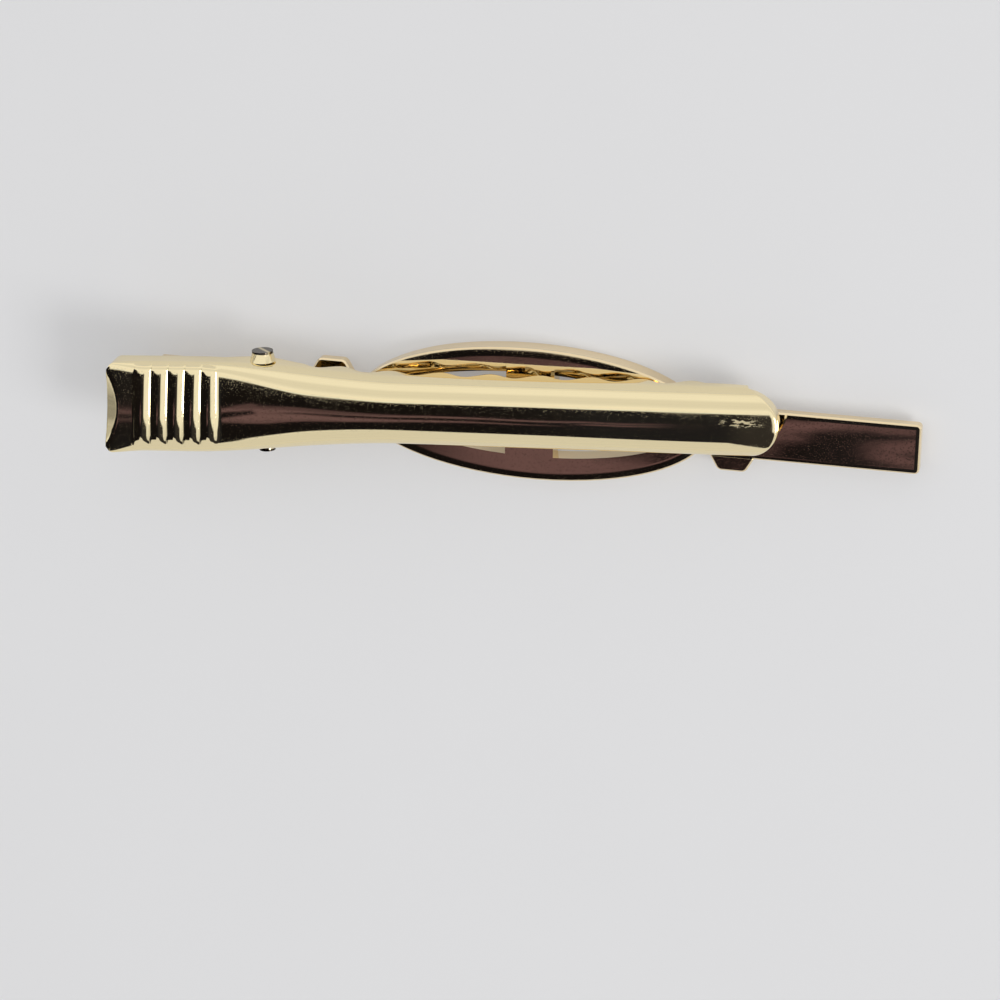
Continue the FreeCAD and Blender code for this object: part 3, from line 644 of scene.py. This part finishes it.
class ArmForm:
    """The outside of the pressed arm, by the place along it and the way round its section"""

    def __init__(self, sizes):
        self.sizes = sizes
        self.tooth_level = sizes.crown_height - sizes.tooth_depth
        self.tooth_middle = self.tooth_level + sizes.tooth_height / 2
        self.wave_start = sizes.first_tooth - WAVE_LEAD * sizes.tooth_pitch
        self.wave_end = sizes.first_tooth + (sizes.tooth_count - WAVE_LEAD) * sizes.tooth_pitch
        self.nose_radius = ((sizes.jaw_width / 2) ** 2 + sizes.nose_round ** 2) / (2 * sizes.nose_round)

    def along_neck(self, x):
        sizes = self.sizes
        return smooth_step((x + sizes.neck_reach) / (sizes.neck_reach + sizes.waist_reach))

    def half_width(self, x):
        sizes = self.sizes
        return (sizes.pad_width + (sizes.jaw_width - sizes.pad_width) * self.along_neck(x)) / 2

    def crown(self, x):
        sizes = self.sizes
        pad = math.tan(sizes.pad_bend) * soft_ramp(-sizes.pad_bend_reach - x, sizes.pad_bend_reach)
        bent = max(0.0, x - sizes.nose_reach + sizes.nose_bend)
        return sizes.crown_height + pad - math.tan(sizes.nose_dip) * bent ** 2 / (2 * sizes.nose_bend)

    def shoulder(self, x, side):
        """The radius of the shoulder, which on the pad differs a little from side to side."""
        sizes = self.sizes
        grown = smooth_step((x + sizes.neck_reach) / (sizes.neck_reach + sizes.shoulder_reach))
        pad = sizes.pad_shoulder * (1 - side * sizes.pad_bias)
        radius = pad + (sizes.jaw_shoulder - pad) * grown
        sharp = sizes.corner_shoulder
        return sharp + (radius - sharp) * smooth_step((x + sizes.pad_reach) / sizes.corner_run)

    def edge(self, x):
        """The level of the walls' lower edge: pad, lobe round the pin, wavy jaw, rise to the nose."""
        sizes = self.sizes
        if x <= -self.wave_start:
            return self.crown(x) - sizes.pad_depth
        if x < 0:
            return self.lobe_side(-self.wave_start, self.crown(-self.wave_start) - sizes.pad_depth, x)
        if x < self.wave_start:
            return self.lobe_side(self.wave_start, self.tooth_middle, x)
        if x <= self.wave_end:
            turn = 2 * math.pi * (x - sizes.first_tooth) / sizes.tooth_pitch
            return self.tooth_middle - sizes.tooth_height / 2 * math.cos(turn)
        climb = ((x - self.wave_end) / (sizes.nose_reach - self.wave_end)) ** 2
        return self.tooth_middle + (self.tooth_level + sizes.nose_rise - self.tooth_middle) * climb

    def lobe_side(self, corner_x, corner_z, x):
        """The round of the lobe, or the straight edge that runs from it to a corner of the wall."""
        radius = self.sizes.lobe_radius
        turn = math.copysign(math.acos(radius / math.hypot(corner_x, corner_z)), corner_x)
        touch = math.atan2(corner_z, corner_x) - turn
        touch_x, touch_z = radius * math.cos(touch), radius * math.sin(touch)
        if abs(x) < abs(touch_x):
            return -math.sqrt(radius ** 2 - x ** 2)
        return touch_z + (corner_z - touch_z) * (x - touch_x) / (corner_x - touch_x)

    def section(self, x, way):
        """A point of the section, its lean and its run from the middle.

        The way is 0 in the middle, 1 and 2 where the crown and the shoulder end, and 3 at the foot of
        the wall, with a minus sign on the -Y side.
        """
        sizes = self.sizes
        side = math.copysign(1.0, way)
        way = abs(way)
        half, radius = self.half_width(x), self.shoulder(x, side)
        bow = (half - radius) / math.sin(sizes.crown_swell) + radius
        centre = self.crown(x) - bow + (bow - radius) * math.cos(sizes.crown_swell)
        lean = sizes.crown_swell * min(way, 1.0)
        y, z, run = bow * math.sin(lean), self.crown(x) - bow * (1 - math.cos(lean)), bow * lean
        if way > 1:
            lean += (math.pi / 2 - sizes.crown_swell) * min(way - 1, 1.0)
            y, z = half - radius + radius * math.sin(lean), centre + radius * math.cos(lean)
            run += radius * (lean - sizes.crown_swell)
        if way > 2:
            drop = (centre - self.edge(x)) * (way - 2)
            z, run = z - drop, run + drop
        return side * y, z, side * lean, run

    def station(self, x, y):
        """Draws a station in towards the rounded nose and the round corners of the pad."""
        sizes = self.sizes
        nose_start = sizes.nose_reach - 2 * sizes.nose_round
        corner_start = sizes.corner_run - sizes.pad_reach
        if x > nose_start:
            tip = sizes.nose_reach - self.nose_radius + math.sqrt(self.nose_radius ** 2 - y ** 2)
            return nose_start + (x - nose_start) * (tip - nose_start) / (sizes.nose_reach - nose_start)
        if x < corner_start:
            radius = sizes.corner_round
            past = max(0.0, abs(y) - self.half_width(x) + radius)
            back = radius - math.sqrt(max(0.0, radius ** 2 - past ** 2)) - sizes.pad_reach
            whole = -sizes.pad_reach - corner_start
            return corner_start + (x - corner_start) * (back - corner_start) / whole
        return x

    def rib(self, x, run, side):
        """The height of the grip ribs: each is a shallow round that dies out at its ends."""
        sizes = self.sizes
        foot = sizes.rib_width / 2
        radius = (foot ** 2 + sizes.rib_height ** 2) / (2 * sizes.rib_height)
        end = self.half_width(x) - self.shoulder(x, side) + sizes.rib_overrun + side * sizes.rib_shift
        highest = 0.0
        for index in range(sizes.rib_count):
            middle = (index - (sizes.rib_count - 1) / 2) * sizes.rib_pitch - sizes.rib_reach
            away = abs(x - middle)
            if away < foot:
                highest = max(highest, math.sqrt(radius ** 2 - away ** 2) - radius + sizes.rib_height)
        return highest * smooth_step((end - run) / sizes.rib_corner)

    def scoop(self, x, y):
        """How far the lip at the end of the pad is pressed down."""
        sizes = self.sizes
        hollow = sizes.scoop_reach * max(0.0, 1 - (2 * y / sizes.scoop_width) ** 2)
        return math.tan(sizes.scoop_slope) * soft_ramp(hollow - sizes.pad_reach - x, sizes.scoop_brow)

    def roll(self, x):
        """How far the rim of the nose is rolled in, at a station before it is drawn in."""
        radius = self.sizes.nose_roll
        short = max(0.0, x - self.sizes.nose_reach + radius)
        return radius - math.sqrt(radius ** 2 - short ** 2)

    def skew(self, x):
        """How much the sheet is out of square: fully on the pad, not at all ahead of the pivot."""
        return math.tan(self.sizes.pad_skew) * smooth_step(-x / self.sizes.neck_reach)

    def point(self, station, way):
        x = self.station(station, self.section(station, way)[0])
        y, z, lean, run = self.section(x, way)
        proud = self.rib(x, run, math.copysign(1.0, way)) - self.roll(station)
        z += proud * math.cos(lean) - self.scoop(x, y)
        y += proud * math.sin(lean)
        return Vector((x + self.skew(x) * y, y, z))

    def jaw_dip(self):
        """How far the arm leans down towards the nose until its last tooth meets the bar."""
        x = self.wave_end - self.sizes.tooth_pitch / 4
        reach = PIVOT.z - BAR_BACK - self.sizes.jaw_gap
        return math.asin(reach / math.hypot(x, self.tooth_level)) + math.atan2(self.tooth_level, x)


def hinge_frame(dip=0.0):
    """From a piece's own frame to the part's: the pivot, the skew of the pin and the lean of the arm."""
    along = PIN_WAY.cross(Vector((0, 0, 1)))
    turn = Matrix((along, PIN_WAY, (0, 0, 1))).transposed().to_4x4()
    return Matrix.Translation(PIVOT) @ turn @ Matrix.Rotation(dip, 4, "Y")


def spread(start, *stretches):
    """Places along a line, from the start through stretches that have an end and a number of steps."""
    places = [start]
    for end, steps in stretches:
        first = places[-1]
        places += [first + (end - first) * index / steps for index in range(1, steps + 1)]
    return places


# Modelling, and how finely each piece is divided

PAD_END_STEPS = 26
RIB_STEPS = 20
LOBE_STEPS = 36
TOOTH_STEPS = 20
NOSE_STEPS = 24
ROLL_STEPS = 4
WALL_STEPS = 8
SHOULDER_STEPS = 14
CROWN_STEPS = 18
RIM_STEPS = 2
BORE_SIDES = 48
PIN_SIDES = 64
PEEN_STEPS = 5
TURN_STEPS = 40
WIRE_ROUNDNESS = 5
SEAM_GAP = 0.002 * MM


def select_only(*pieces):
    """Selects these pieces and nothing else, and makes the first of them active."""
    bpy.ops.object.select_all(action="DESELECT")
    for piece in pieces:
        piece.select_set(True)
    if pieces:
        bpy.context.view_layer.objects.active = pieces[0]


def smooth(piece, degrees):
    """Shades a piece smoothly but for its edges that are sharper than the angle."""
    select_only(piece)
    bpy.ops.object.shade_smooth_by_angle(angle=math.radians(degrees))


def grid_sheet(columns, rows, place):
    """A flat grid whose points are then moved to their places on the form."""
    select_only()
    bpy.ops.mesh.primitive_grid_add(
        x_subdivisions=columns - 1, y_subdivisions=rows - 1, size=2.0, location=(0, 0, 0))
    sheet = bpy.context.object
    if len(sheet.data.vertices) != columns * rows:
        raise RuntimeError("The grid has another number of points than the form")
    for vertex in sheet.data.vertices:
        column = round((vertex.co.x + 1) / 2 * (columns - 1))
        row = round((vertex.co.y + 1) / 2 * (rows - 1))
        vertex.co = place(column, row)
    return sheet


def apply_modifier(piece, kind, **settings):
    bpy.context.view_layer.objects.active = piece
    modifier = piece.modifiers.new(kind.title(), kind)
    for name, value in settings.items():
        setattr(modifier, name, value)
    bpy.ops.object.modifier_apply(modifier=modifier.name)


def join_sheets(sheets, name):
    """Joins sheets that meet along their edges into one mesh."""
    select_only(*sheets)
    bpy.ops.object.join()
    piece = bpy.context.object
    piece.name = name
    bpy.ops.object.mode_set(mode="EDIT")
    bpy.ops.mesh.select_all(action="SELECT")
    bpy.ops.mesh.remove_doubles(threshold=SEAM_GAP)
    bpy.ops.object.mode_set(mode="OBJECT")
    return piece


def bore_pin(arm, sizes):
    """Drills both walls for the pin."""
    select_only()
    bpy.ops.mesh.primitive_cylinder_add(
        vertices=BORE_SIDES, radius=sizes.pin_bore / 2, depth=2 * sizes.pad_width, location=(0, 0, 0),
        rotation=(math.pi / 2, 0, 0))
    drill = bpy.context.object
    apply_modifier(arm, "BOOLEAN", object=drill, operation="DIFFERENCE", solver="EXACT")
    bpy.data.objects.remove(drill)


def press_arm(sizes):
    """The sheet of the arm with its end walls, its thickness, its bore and its broken edges."""
    form = ArmForm(sizes)
    rib_span = sizes.rib_count * sizes.rib_pitch / 2
    stations = spread(
        -sizes.pad_reach,
        (-sizes.rib_reach - rib_span, PAD_END_STEPS),
        (-sizes.rib_reach + rib_span, RIB_STEPS * sizes.rib_count),
        (form.wave_start, LOBE_STEPS),
        (form.wave_end, TOOTH_STEPS * sizes.tooth_count),
        (sizes.nose_reach - sizes.nose_roll, NOSE_STEPS),
        (sizes.nose_reach, ROLL_STEPS),
    )
    ways = spread(
        -3.0, (-2.0, WALL_STEPS), (-1.0, SHOULDER_STEPS), (1.0, CROWN_STEPS), (2.0, SHOULDER_STEPS),
        (3.0, WALL_STEPS))
    main = grid_sheet(
        len(stations), len(ways), lambda column, row: form.point(stations[column], ways[row]))
    over = [way for way in ways if abs(way) <= 2]
    down = [way - 2 for way in ways if way >= 2]

    def wall_point(station, way, depth):
        top = form.point(station, way)
        foot = form.edge(form.station(station, form.section(station, way)[0]))
        return Vector((top.x, top.y, top.z + (foot - top.z) * depth))

    pad_wall = grid_sheet(
        len(over), len(down), lambda column, row: wall_point(-sizes.pad_reach, over[column], down[row]))
    nose_wall = grid_sheet(
        len(over), len(down), lambda column, row: wall_point(sizes.nose_reach, -over[column], down[row]))
    arm = join_sheets([main, pad_wall, nose_wall], "clip_arm_sheet")
    apply_modifier(arm, "SOLIDIFY", thickness=sizes.sheet, offset=-1.0)
    bore_pin(arm, sizes)
    apply_modifier(arm, "BEVEL", width=sizes.rim_round, segments=RIM_STEPS, limit_method="ANGLE",
                   angle_limit=math.radians(60.0))
    arm.data.transform(hinge_frame(form.jaw_dip()))
    smooth(arm, degrees=40.0)
    return arm


def turned(first_radius, last_radius, start, end):
    """One round stretch along the pin, straight or flared."""
    select_only()
    bpy.ops.mesh.primitive_cone_add(
        vertices=PIN_SIDES, radius1=first_radius, radius2=last_radius, depth=end - start,
        location=(0, (start + end) / 2, 0), rotation=(-math.pi / 2, 0, 0))
    bpy.ops.object.transform_apply(location=True, rotation=True, scale=True)
    return bpy.context.object


def turn_pin(sizes):
    """The pin: a shank with a peened tail, and a head that flares out to the arm."""
    flare_end = sizes.head_start + sizes.head_flare
    overlap = sizes.peen / 2
    pin = turned(sizes.shank / 2, sizes.shank / 2, -sizes.tail_reach, flare_end - overlap)
    head = turned(sizes.head_width / 2, sizes.head_width / 2, flare_end - overlap, sizes.head_reach)
    flare = turned(sizes.head_foot / 2, sizes.head_width / 2, sizes.head_start, flare_end)
    for stretch in (flare, head):
        apply_modifier(pin, "BOOLEAN", object=stretch, operation="UNION", solver="EXACT")
        bpy.data.objects.remove(stretch)
    apply_modifier(pin, "BEVEL", width=sizes.peen, segments=PEEN_STEPS, limit_method="ANGLE",
                   angle_limit=math.radians(75.0))
    pin.name = "hinge_pin_rivet"
    pin.data.transform(hinge_frame())
    smooth(pin, degrees=30.0)
    return pin


def wind_spring(sizes, dip):
    """The wire's line, in the hinge's frame: lower leg, coil, upper leg."""
    radius = sizes.coil / 2
    low_x, low_z = -sizes.lower_leg, -sizes.lower_drop
    high_x = sizes.upper_rise * math.sin(dip) - sizes.upper_leg * math.cos(dip)
    high_z = sizes.upper_rise * math.cos(dip) + sizes.upper_leg * math.sin(dip)
    first = math.atan2(low_z, low_x) + math.acos(radius / math.hypot(low_x, low_z))
    last = math.atan2(high_z, high_x) - math.acos(radius / math.hypot(high_x, high_z))
    sweep = (last - first) % (2 * math.pi) + 2 * math.pi * sizes.turns
    rate = sizes.run / (sweep - sizes.ease)
    steps = TURN_STEPS * (sizes.turns + 1)
    points = [Vector((low_x, -sizes.run / 2, low_z))]
    for index in range(steps + 1):
        swept = sweep * index / steps
        left = sweep - swept
        along = rate * (swept - sizes.ease / 2)
        if swept < sizes.ease:
            along = rate * swept ** 2 / (2 * sizes.ease)
        if left < sizes.ease:
            along = rate * (sweep - sizes.ease - left ** 2 / (2 * sizes.ease))
        x, z = radius * math.cos(first + swept), radius * math.sin(first + swept)
        points.append(Vector((x, along - sizes.run / 2, z)))
    points.append(Vector((high_x, sizes.run / 2, high_z)))
    return points


def bend_wire(sizes, dip):
    """The wire as a round tube along its line."""
    line = bpy.data.curves.new("torsion_spring_wire", "CURVE")
    line.dimensions = "3D"
    line.bevel_depth = sizes.wire / 2
    line.bevel_resolution = WIRE_ROUNDNESS
    line.use_fill_caps = True
    points = wind_spring(sizes, dip)
    spline = line.splines.new("POLY")
    spline.points.add(len(points) - 1)
    for knot, point in zip(spline.points, points):
        knot.co = (*point, 1.0)
    holder = bpy.data.objects.new("torsion_spring_wire", line)
    bpy.context.scene.collection.objects.link(holder)
    select_only(holder)
    bpy.ops.object.convert(target="MESH")
    spring = bpy.context.object
    spring.data.transform(hinge_frame())
    smooth(spring, degrees=50.0)
    return spring


# Pieces


class TIECLIP_OT_front_bar(bpy.types.Operator):
    """Polish the struck front bar with its pierced oval"""

    bl_idname = "tieclip.front_bar"
    bl_label = "Front bar"

    def execute(self, context):
        dress("front_bar", struck_plating(context.scene.tieclip_plating, context.scene.tieclip_bar))
        return {"FINISHED"}


class TIECLIP_OT_clip_arm(bpy.types.Operator):
    """Press the arm from sheet and polish it"""

    bl_idname = "tieclip.clip_arm"
    bl_label = "Clip arm"

    def execute(self, context):
        look = context.scene.tieclip_plating
        arm = press_arm(context.scene.tieclip_arm)
        arm.data.materials.append(rubbed_plating(look))
        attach(arm, "arm")
        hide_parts("clip_arm")
        return {"FINISHED"}


class TIECLIP_OT_hinge(bpy.types.Operator):
    """Finish the soldered bracket and turn the riveted pin"""

    bl_idname = "tieclip.hinge"
    bl_label = "Hinge"

    def execute(self, context):
        look = context.scene.tieclip_plating
        marks = {"Scratches": 0.6, "Pinholes": 0.8, "Smears": 0.15}
        swell = {"Swell": 0.3, "Peel": 0.1}
        plating = plated_metal("Hinge plating", look.hinge_tone, look.hinge_polish, marks, swell)
        dress("hinge_bracket", plating)
        sizes = context.scene.tieclip_pin
        pin = turn_pin(sizes)
        pin.data.materials.append(riveted_plating(look, sizes))
        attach(pin, "bar")
        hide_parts("hinge_pin")
        return {"FINISHED"}


class TIECLIP_OT_spring(bpy.types.Operator):
    """Wind the spring round the pin"""

    bl_idname = "tieclip.spring"
    bl_label = "Torsion spring"

    def execute(self, context):
        sizes = context.scene.tieclip_spring
        spring = bend_wire(sizes, ArmForm(context.scene.tieclip_arm).jaw_dip())
        spring.data.materials.append(drawn_wire("Spring wire", context.scene.tieclip_plating.wire_tone))
        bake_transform(spring)
        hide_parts("torsion_spring")
        return {"FINISHED"}


class TIECLIP_OT_stage(bpy.types.Operator):
    """Set the table, the room, the light and the camera"""

    bl_idname = "tieclip.stage"
    bl_label = "Stage"

    def execute(self, context):
        stage = context.scene.tieclip_stage
        make_table(stage)
        make_world(context.scene, stage)
        make_lamp(stage)
        make_camera(context.scene, stage)
        context.scene.view_settings.view_transform = "Standard"
        return {"FINISHED"}


# Stage: angles in the room are in degrees from straight up, side to the right and front to the near side

TABLE_SIZE = 4.0
TABLE_ROUGHNESS = 0.6
TABLE_CLOUD_SCALE = 60.0
TABLE_SHADE = 0.97
TABLE_LIGHT = 0.92
STREAK_SCALE = 0.33
STREAK_STRETCH = 0.02
STREAK_LIGHT = 0.28
HOOD_BACK = (10.0, 11.2)
HOOD_LEFT = (-62.0, -57.0)
HOOD_FRONT_BLUR = (1.0, -1.0)
HOOD_RIGHT_BLUR = (2.5, -2.5)
WARM_BLUR = (0.35, -0.35)
WARM_STREAKS = 0.45
WARM_STREAK_EDGE = (0.40, 0.56)
WARM_LEFT = (-15.6, -13.2)
WARM_RIGHT = (-4.8, -6.0)
LOWER_STREAK_END = (-7.2, -8.2)
LAST_STREAK_START = (-7.2, -6.8)
LINING_MIDDLE = (-9.0, -6.0)
LINING_RIGHT = (-4.0, 2.0)
WALL_TOP = (2.0, -18.0)
WALL_FOOT = (-55.0, -36.0)
ROOM_LOW = (-70.0, -98.0)
ROOM_AHEAD = (24.0, 34.0)
ROOM_LEFT = (-0.78, -0.92)
WALL_DULLING = 0.15
LOW_DULLING = 0.18
AHEAD_DULLING = 0.22
LEFT_DULLING = 0.40


def make_table(stage):
    """A plain pale table that takes the clip's soft shadow."""
    select_only()
    bpy.ops.mesh.primitive_plane_add(size=TABLE_SIZE, location=(0, 0, 0))
    table = bpy.context.object
    table.name = "Table"
    material, tree, shader = new_material("Pale table", Roughness=TABLE_ROUGHNESS)
    tone = stage.table_tone
    shade = tuple(channel * TABLE_SHADE for channel in tone)
    cloud = noise(tree, object_place(tree), TABLE_CLOUD_SCALE, detail=3.0)
    link(tree, blend(tree, cloud, tone, shade), shader.inputs["Base Color"])
    lit = tree.nodes.new("ShaderNodeEmission")
    lit.inputs["Color"].default_value = (*tone, 1.0)
    lit.inputs["Strength"].default_value = TABLE_LIGHT
    seen = tree.nodes.new("ShaderNodeLightPath")
    either = calc(tree, "MAXIMUM", seen.outputs["Is Camera Ray"], seen.outputs["Is Glossy Ray"])
    mixed = tree.nodes.new("ShaderNodeMixShader")
    link(tree, product(tree, either, stage.table_lift), mixed.inputs[0])
    link(tree, shader.outputs[0], mixed.inputs[1])
    link(tree, lit.outputs[0], mixed.inputs[2])
    link(tree, mixed.outputs[0], tree.nodes["Material Output"].inputs["Surface"])
    table.data.materials.append(material)


def make_world(scene, stage):
    """A bright soft room with one dark side overhead, which the polished metal mirrors."""
    world = bpy.data.worlds.new("Studio")
    world.use_nodes = True
    scene.world = world
    tree = world.node_tree
    x, y, z = split(tree, tree.nodes.new("ShaderNodeTexCoord").outputs["Generated"])
    side = calc(tree, "DEGREES", calc(tree, "ARCTAN2", x, z))
    front = calc(tree, "DEGREES", calc(tree, "ARCTAN2", product(tree, y, -1.0), z))
    streaks = front_streaks(tree, side, front)
    hood = dark_hood(tree, side, front)
    lining = hood_lining(tree, side, front, streaks, stage)
    room = bright_room(tree, x, front, streaks, stage)
    background = tree.nodes["Background"]
    link(tree, blend(tree, hood, room, lining), background.inputs["Color"])
    background.inputs["Strength"].default_value = 1.0


def front_streaks(tree, side, front):
    """Fine streaks that run from left to right through the room."""
    place = tree.nodes.new("ShaderNodeCombineXYZ")
    link(tree, product(tree, side, STREAK_STRETCH), place.inputs["X"])
    link(tree, front, place.inputs["Y"])
    return noise(tree, place.outputs["Vector"], STREAK_SCALE, detail=3.0, roughness=0.6)


def dark_hood(tree, side, front):
    """How far a direction lies in the dark side overhead, which reaches further forward at both ends."""
    reach_left = ramp(tree, side, start=-20.0, end=-13.0, low=46.0, high=28.5)
    reach_middle = ramp(tree, side, start=-11.0, end=-6.5, low=0.0, high=6.0)
    reach_right = ramp(tree, side, start=-2.0, end=4.0, low=0.0, high=26.0)
    reach = add(tree, reach_left, reach_middle, reach_right)
    right = ramp(tree, front, start=20.0, end=26.0, low=8.0, high=26.0)
    return product(
        tree,
        step(tree, front, *HOOD_BACK),
        step(tree, minus(tree, front, reach), *HOOD_FRONT_BLUR),
        step(tree, minus(tree, side, right), *HOOD_RIGHT_BLUR),
        step(tree, side, *HOOD_LEFT))


def warm_line(tree, front, middle, wide):
    """How far a direction lies in a warm streak of the hood, by its middle and half its width."""
    off_middle = calc(tree, "ABSOLUTE", minus(tree, front, middle))
    return step(tree, minus(tree, off_middle, wide), *WARM_BLUR)


def hood_lining(tree, side, front, streaks, stage):
    """The hood is near black, with warm streaks that part on its left and a greyer right end."""
    bend_left = ramp(tree, side, start=-12.6, end=-11.6, low=18.9, high=17.4)
    bend_middle = ramp(tree, side, start=-11.4, end=-8.6, low=0.0, high=1.2)
    bend_right = ramp(tree, side, start=-8.0, end=-6.9, low=0.0, high=-0.7)
    upper_wide = ramp(tree, side, start=-12.6, end=-8.6, low=1.3, high=0.45)
    upper = warm_line(tree, front, add(tree, bend_left, bend_middle, bend_right), upper_wide)
    lower_middle = ramp(tree, side, start=-12.5, end=-9.0, low=20.6, high=20.9)
    lower_wide = ramp(tree, side, start=-12.8, end=-8.4, low=1.6, high=0.3)
    lower = warm_line(tree, front, lower_middle, lower_wide)
    lower = product(tree, lower, step(tree, side, *LOWER_STREAK_END))
    last_middle = ramp(tree, side, start=-7.0, end=-6.0, low=19.6, high=19.2)
    last_wide = ramp(tree, side, start=-7.2, end=-6.6, low=0.0, high=0.3)
    last = warm_line(tree, front, last_middle, last_wide)
    last = product(tree, last, step(tree, side, *LAST_STREAK_START))
    lines = calc(tree, "MAXIMUM", calc(tree, "MAXIMUM", upper, lower), last)
    streaky = product(tree, step(tree, streaks, *WARM_STREAK_EDGE), WARM_STREAKS)
    streaky = add(tree, streaky, 1.0 - WARM_STREAKS)
    warm = product(tree, lines, streaky, step(tree, side, *WARM_RIGHT), step(tree, side, *WARM_LEFT))
    black = blend(tree, step(tree, side, *LINING_MIDDLE), stage.hood_left, stage.hood_middle)
    black = blend(tree, step(tree, side, *LINING_RIGHT), black, stage.hood_right)
    return blend(tree, warm, black, stage.hood_warm)


def bright_room(tree, along, front, streaks, stage):
    """The room is brightest beside the hood, duller low down at the back, in front and on the left."""
    wall = product(tree, step(tree, front, *WALL_TOP), step(tree, front, *WALL_FOOT))
    low = step(tree, front, *ROOM_LOW)
    ahead = step(tree, front, *ROOM_AHEAD)
    left = step(tree, along, *ROOM_LEFT)
    light = minus(tree, stage.room_light, product(tree, wall, WALL_DULLING))
    for place, dulling in ((low, LOW_DULLING), (ahead, AHEAD_DULLING), (left, LEFT_DULLING)):
        light = minus(tree, light, product(tree, place, dulling))
    return add(tree, light, product(tree, minus(tree, streaks, 0.5), STREAK_LIGHT))


def make_lamp(stage):
    """A window to the right, low enough to throw a soft shadow past the pad."""
    lamp = bpy.data.lights.new("Window", "AREA")
    lamp.shape = "RECTANGLE"
    lamp.size = stage.window_size
    lamp.size_y = stage.window_size
    lamp.energy = stage.window_power
    holder = bpy.data.objects.new("Window", lamp)
    bpy.context.scene.collection.objects.link(holder)
    holder.location = (stage.window_right, -stage.window_near, stage.window_up)
    holder.rotation_euler = (-holder.location).to_track_quat("-Z", "Y").to_euler()


def make_camera(scene, stage):
    """The camera leans towards +Y and +X from straight above, at the photograph's angle."""
    toward = Vector((
        math.sin(stage.side) * math.cos(stage.tilt),
        math.sin(stage.tilt),
        math.cos(stage.side) * math.cos(stage.tilt),
    ))
    right = Vector((0, 1, 0)).cross(toward).normalized()
    up = toward.cross(right)
    turn = Matrix.Rotation(stage.roll, 3, toward)
    right, up = turn @ right, turn @ up
    lens = bpy.data.cameras.new("Camera")
    lens.sensor_width = 36.0
    lens.lens = lens.sensor_width * stage.distance / stage.view_width
    lens.clip_start = 0.01
    lens.clip_end = 10.0
    camera = bpy.data.objects.new("Camera", lens)
    scene.collection.objects.link(camera)
    place = Matrix((right, up, toward)).transposed().to_4x4()
    target = Vector((0, 0, BAR_BACK))
    place.translation = target + toward * stage.distance - right * stage.aim_right - up * stage.aim_up
    camera.matrix_world = place
    scene.camera = camera


class TIECLIP_PT_panel(bpy.types.Panel):
    """Lists the steps that dress the tie clip"""

    bl_idname = "TIECLIP_PT_panel"
    bl_label = "Tie Clip"
    bl_space_type = "VIEW_3D"
    bl_region_type = "UI"
    bl_category = "Tie Clip"

    def draw(self, context):
        for name in SETTINGS:
            settings = getattr(context.scene, name)
            box = self.layout.box()
            for entry in settings.__annotations__:
                box.prop(settings, entry)
        for piece in STEPS:
            self.layout.operator(piece.bl_idname)


SETTINGS = {
    "tieclip_plating": PlatingSettings,
    "tieclip_bar": BarSettings,
    "tieclip_arm": ArmSettings,
    "tieclip_pin": PinSettings,
    "tieclip_spring": SpringSettings,
    "tieclip_stage": StageSettings,
}
STEPS = (
    TIECLIP_OT_front_bar,
    TIECLIP_OT_clip_arm,
    TIECLIP_OT_hinge,
    TIECLIP_OT_spring,
    TIECLIP_OT_stage,
)
CLASSES = (*SETTINGS.values(), *STEPS, TIECLIP_PT_panel)


def register():
    for item in CLASSES:
        bpy.utils.register_class(item)
    for name, settings in SETTINGS.items():
        setattr(bpy.types.Scene, name, bpy.props.PointerProperty(type=settings))


def unregister():
    for name in SETTINGS:
        delattr(bpy.types.Scene, name)
    for item in reversed(CLASSES):
        bpy.utils.unregister_class(item)


def main():
    register()
    bpy.ops.tieclip.front_bar()
    bpy.ops.tieclip.clip_arm()
    bpy.ops.tieclip.hinge()
    bpy.ops.tieclip.spring()
    bpy.ops.tieclip.stage()
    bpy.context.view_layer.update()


if __name__ == "__main__":
    main()
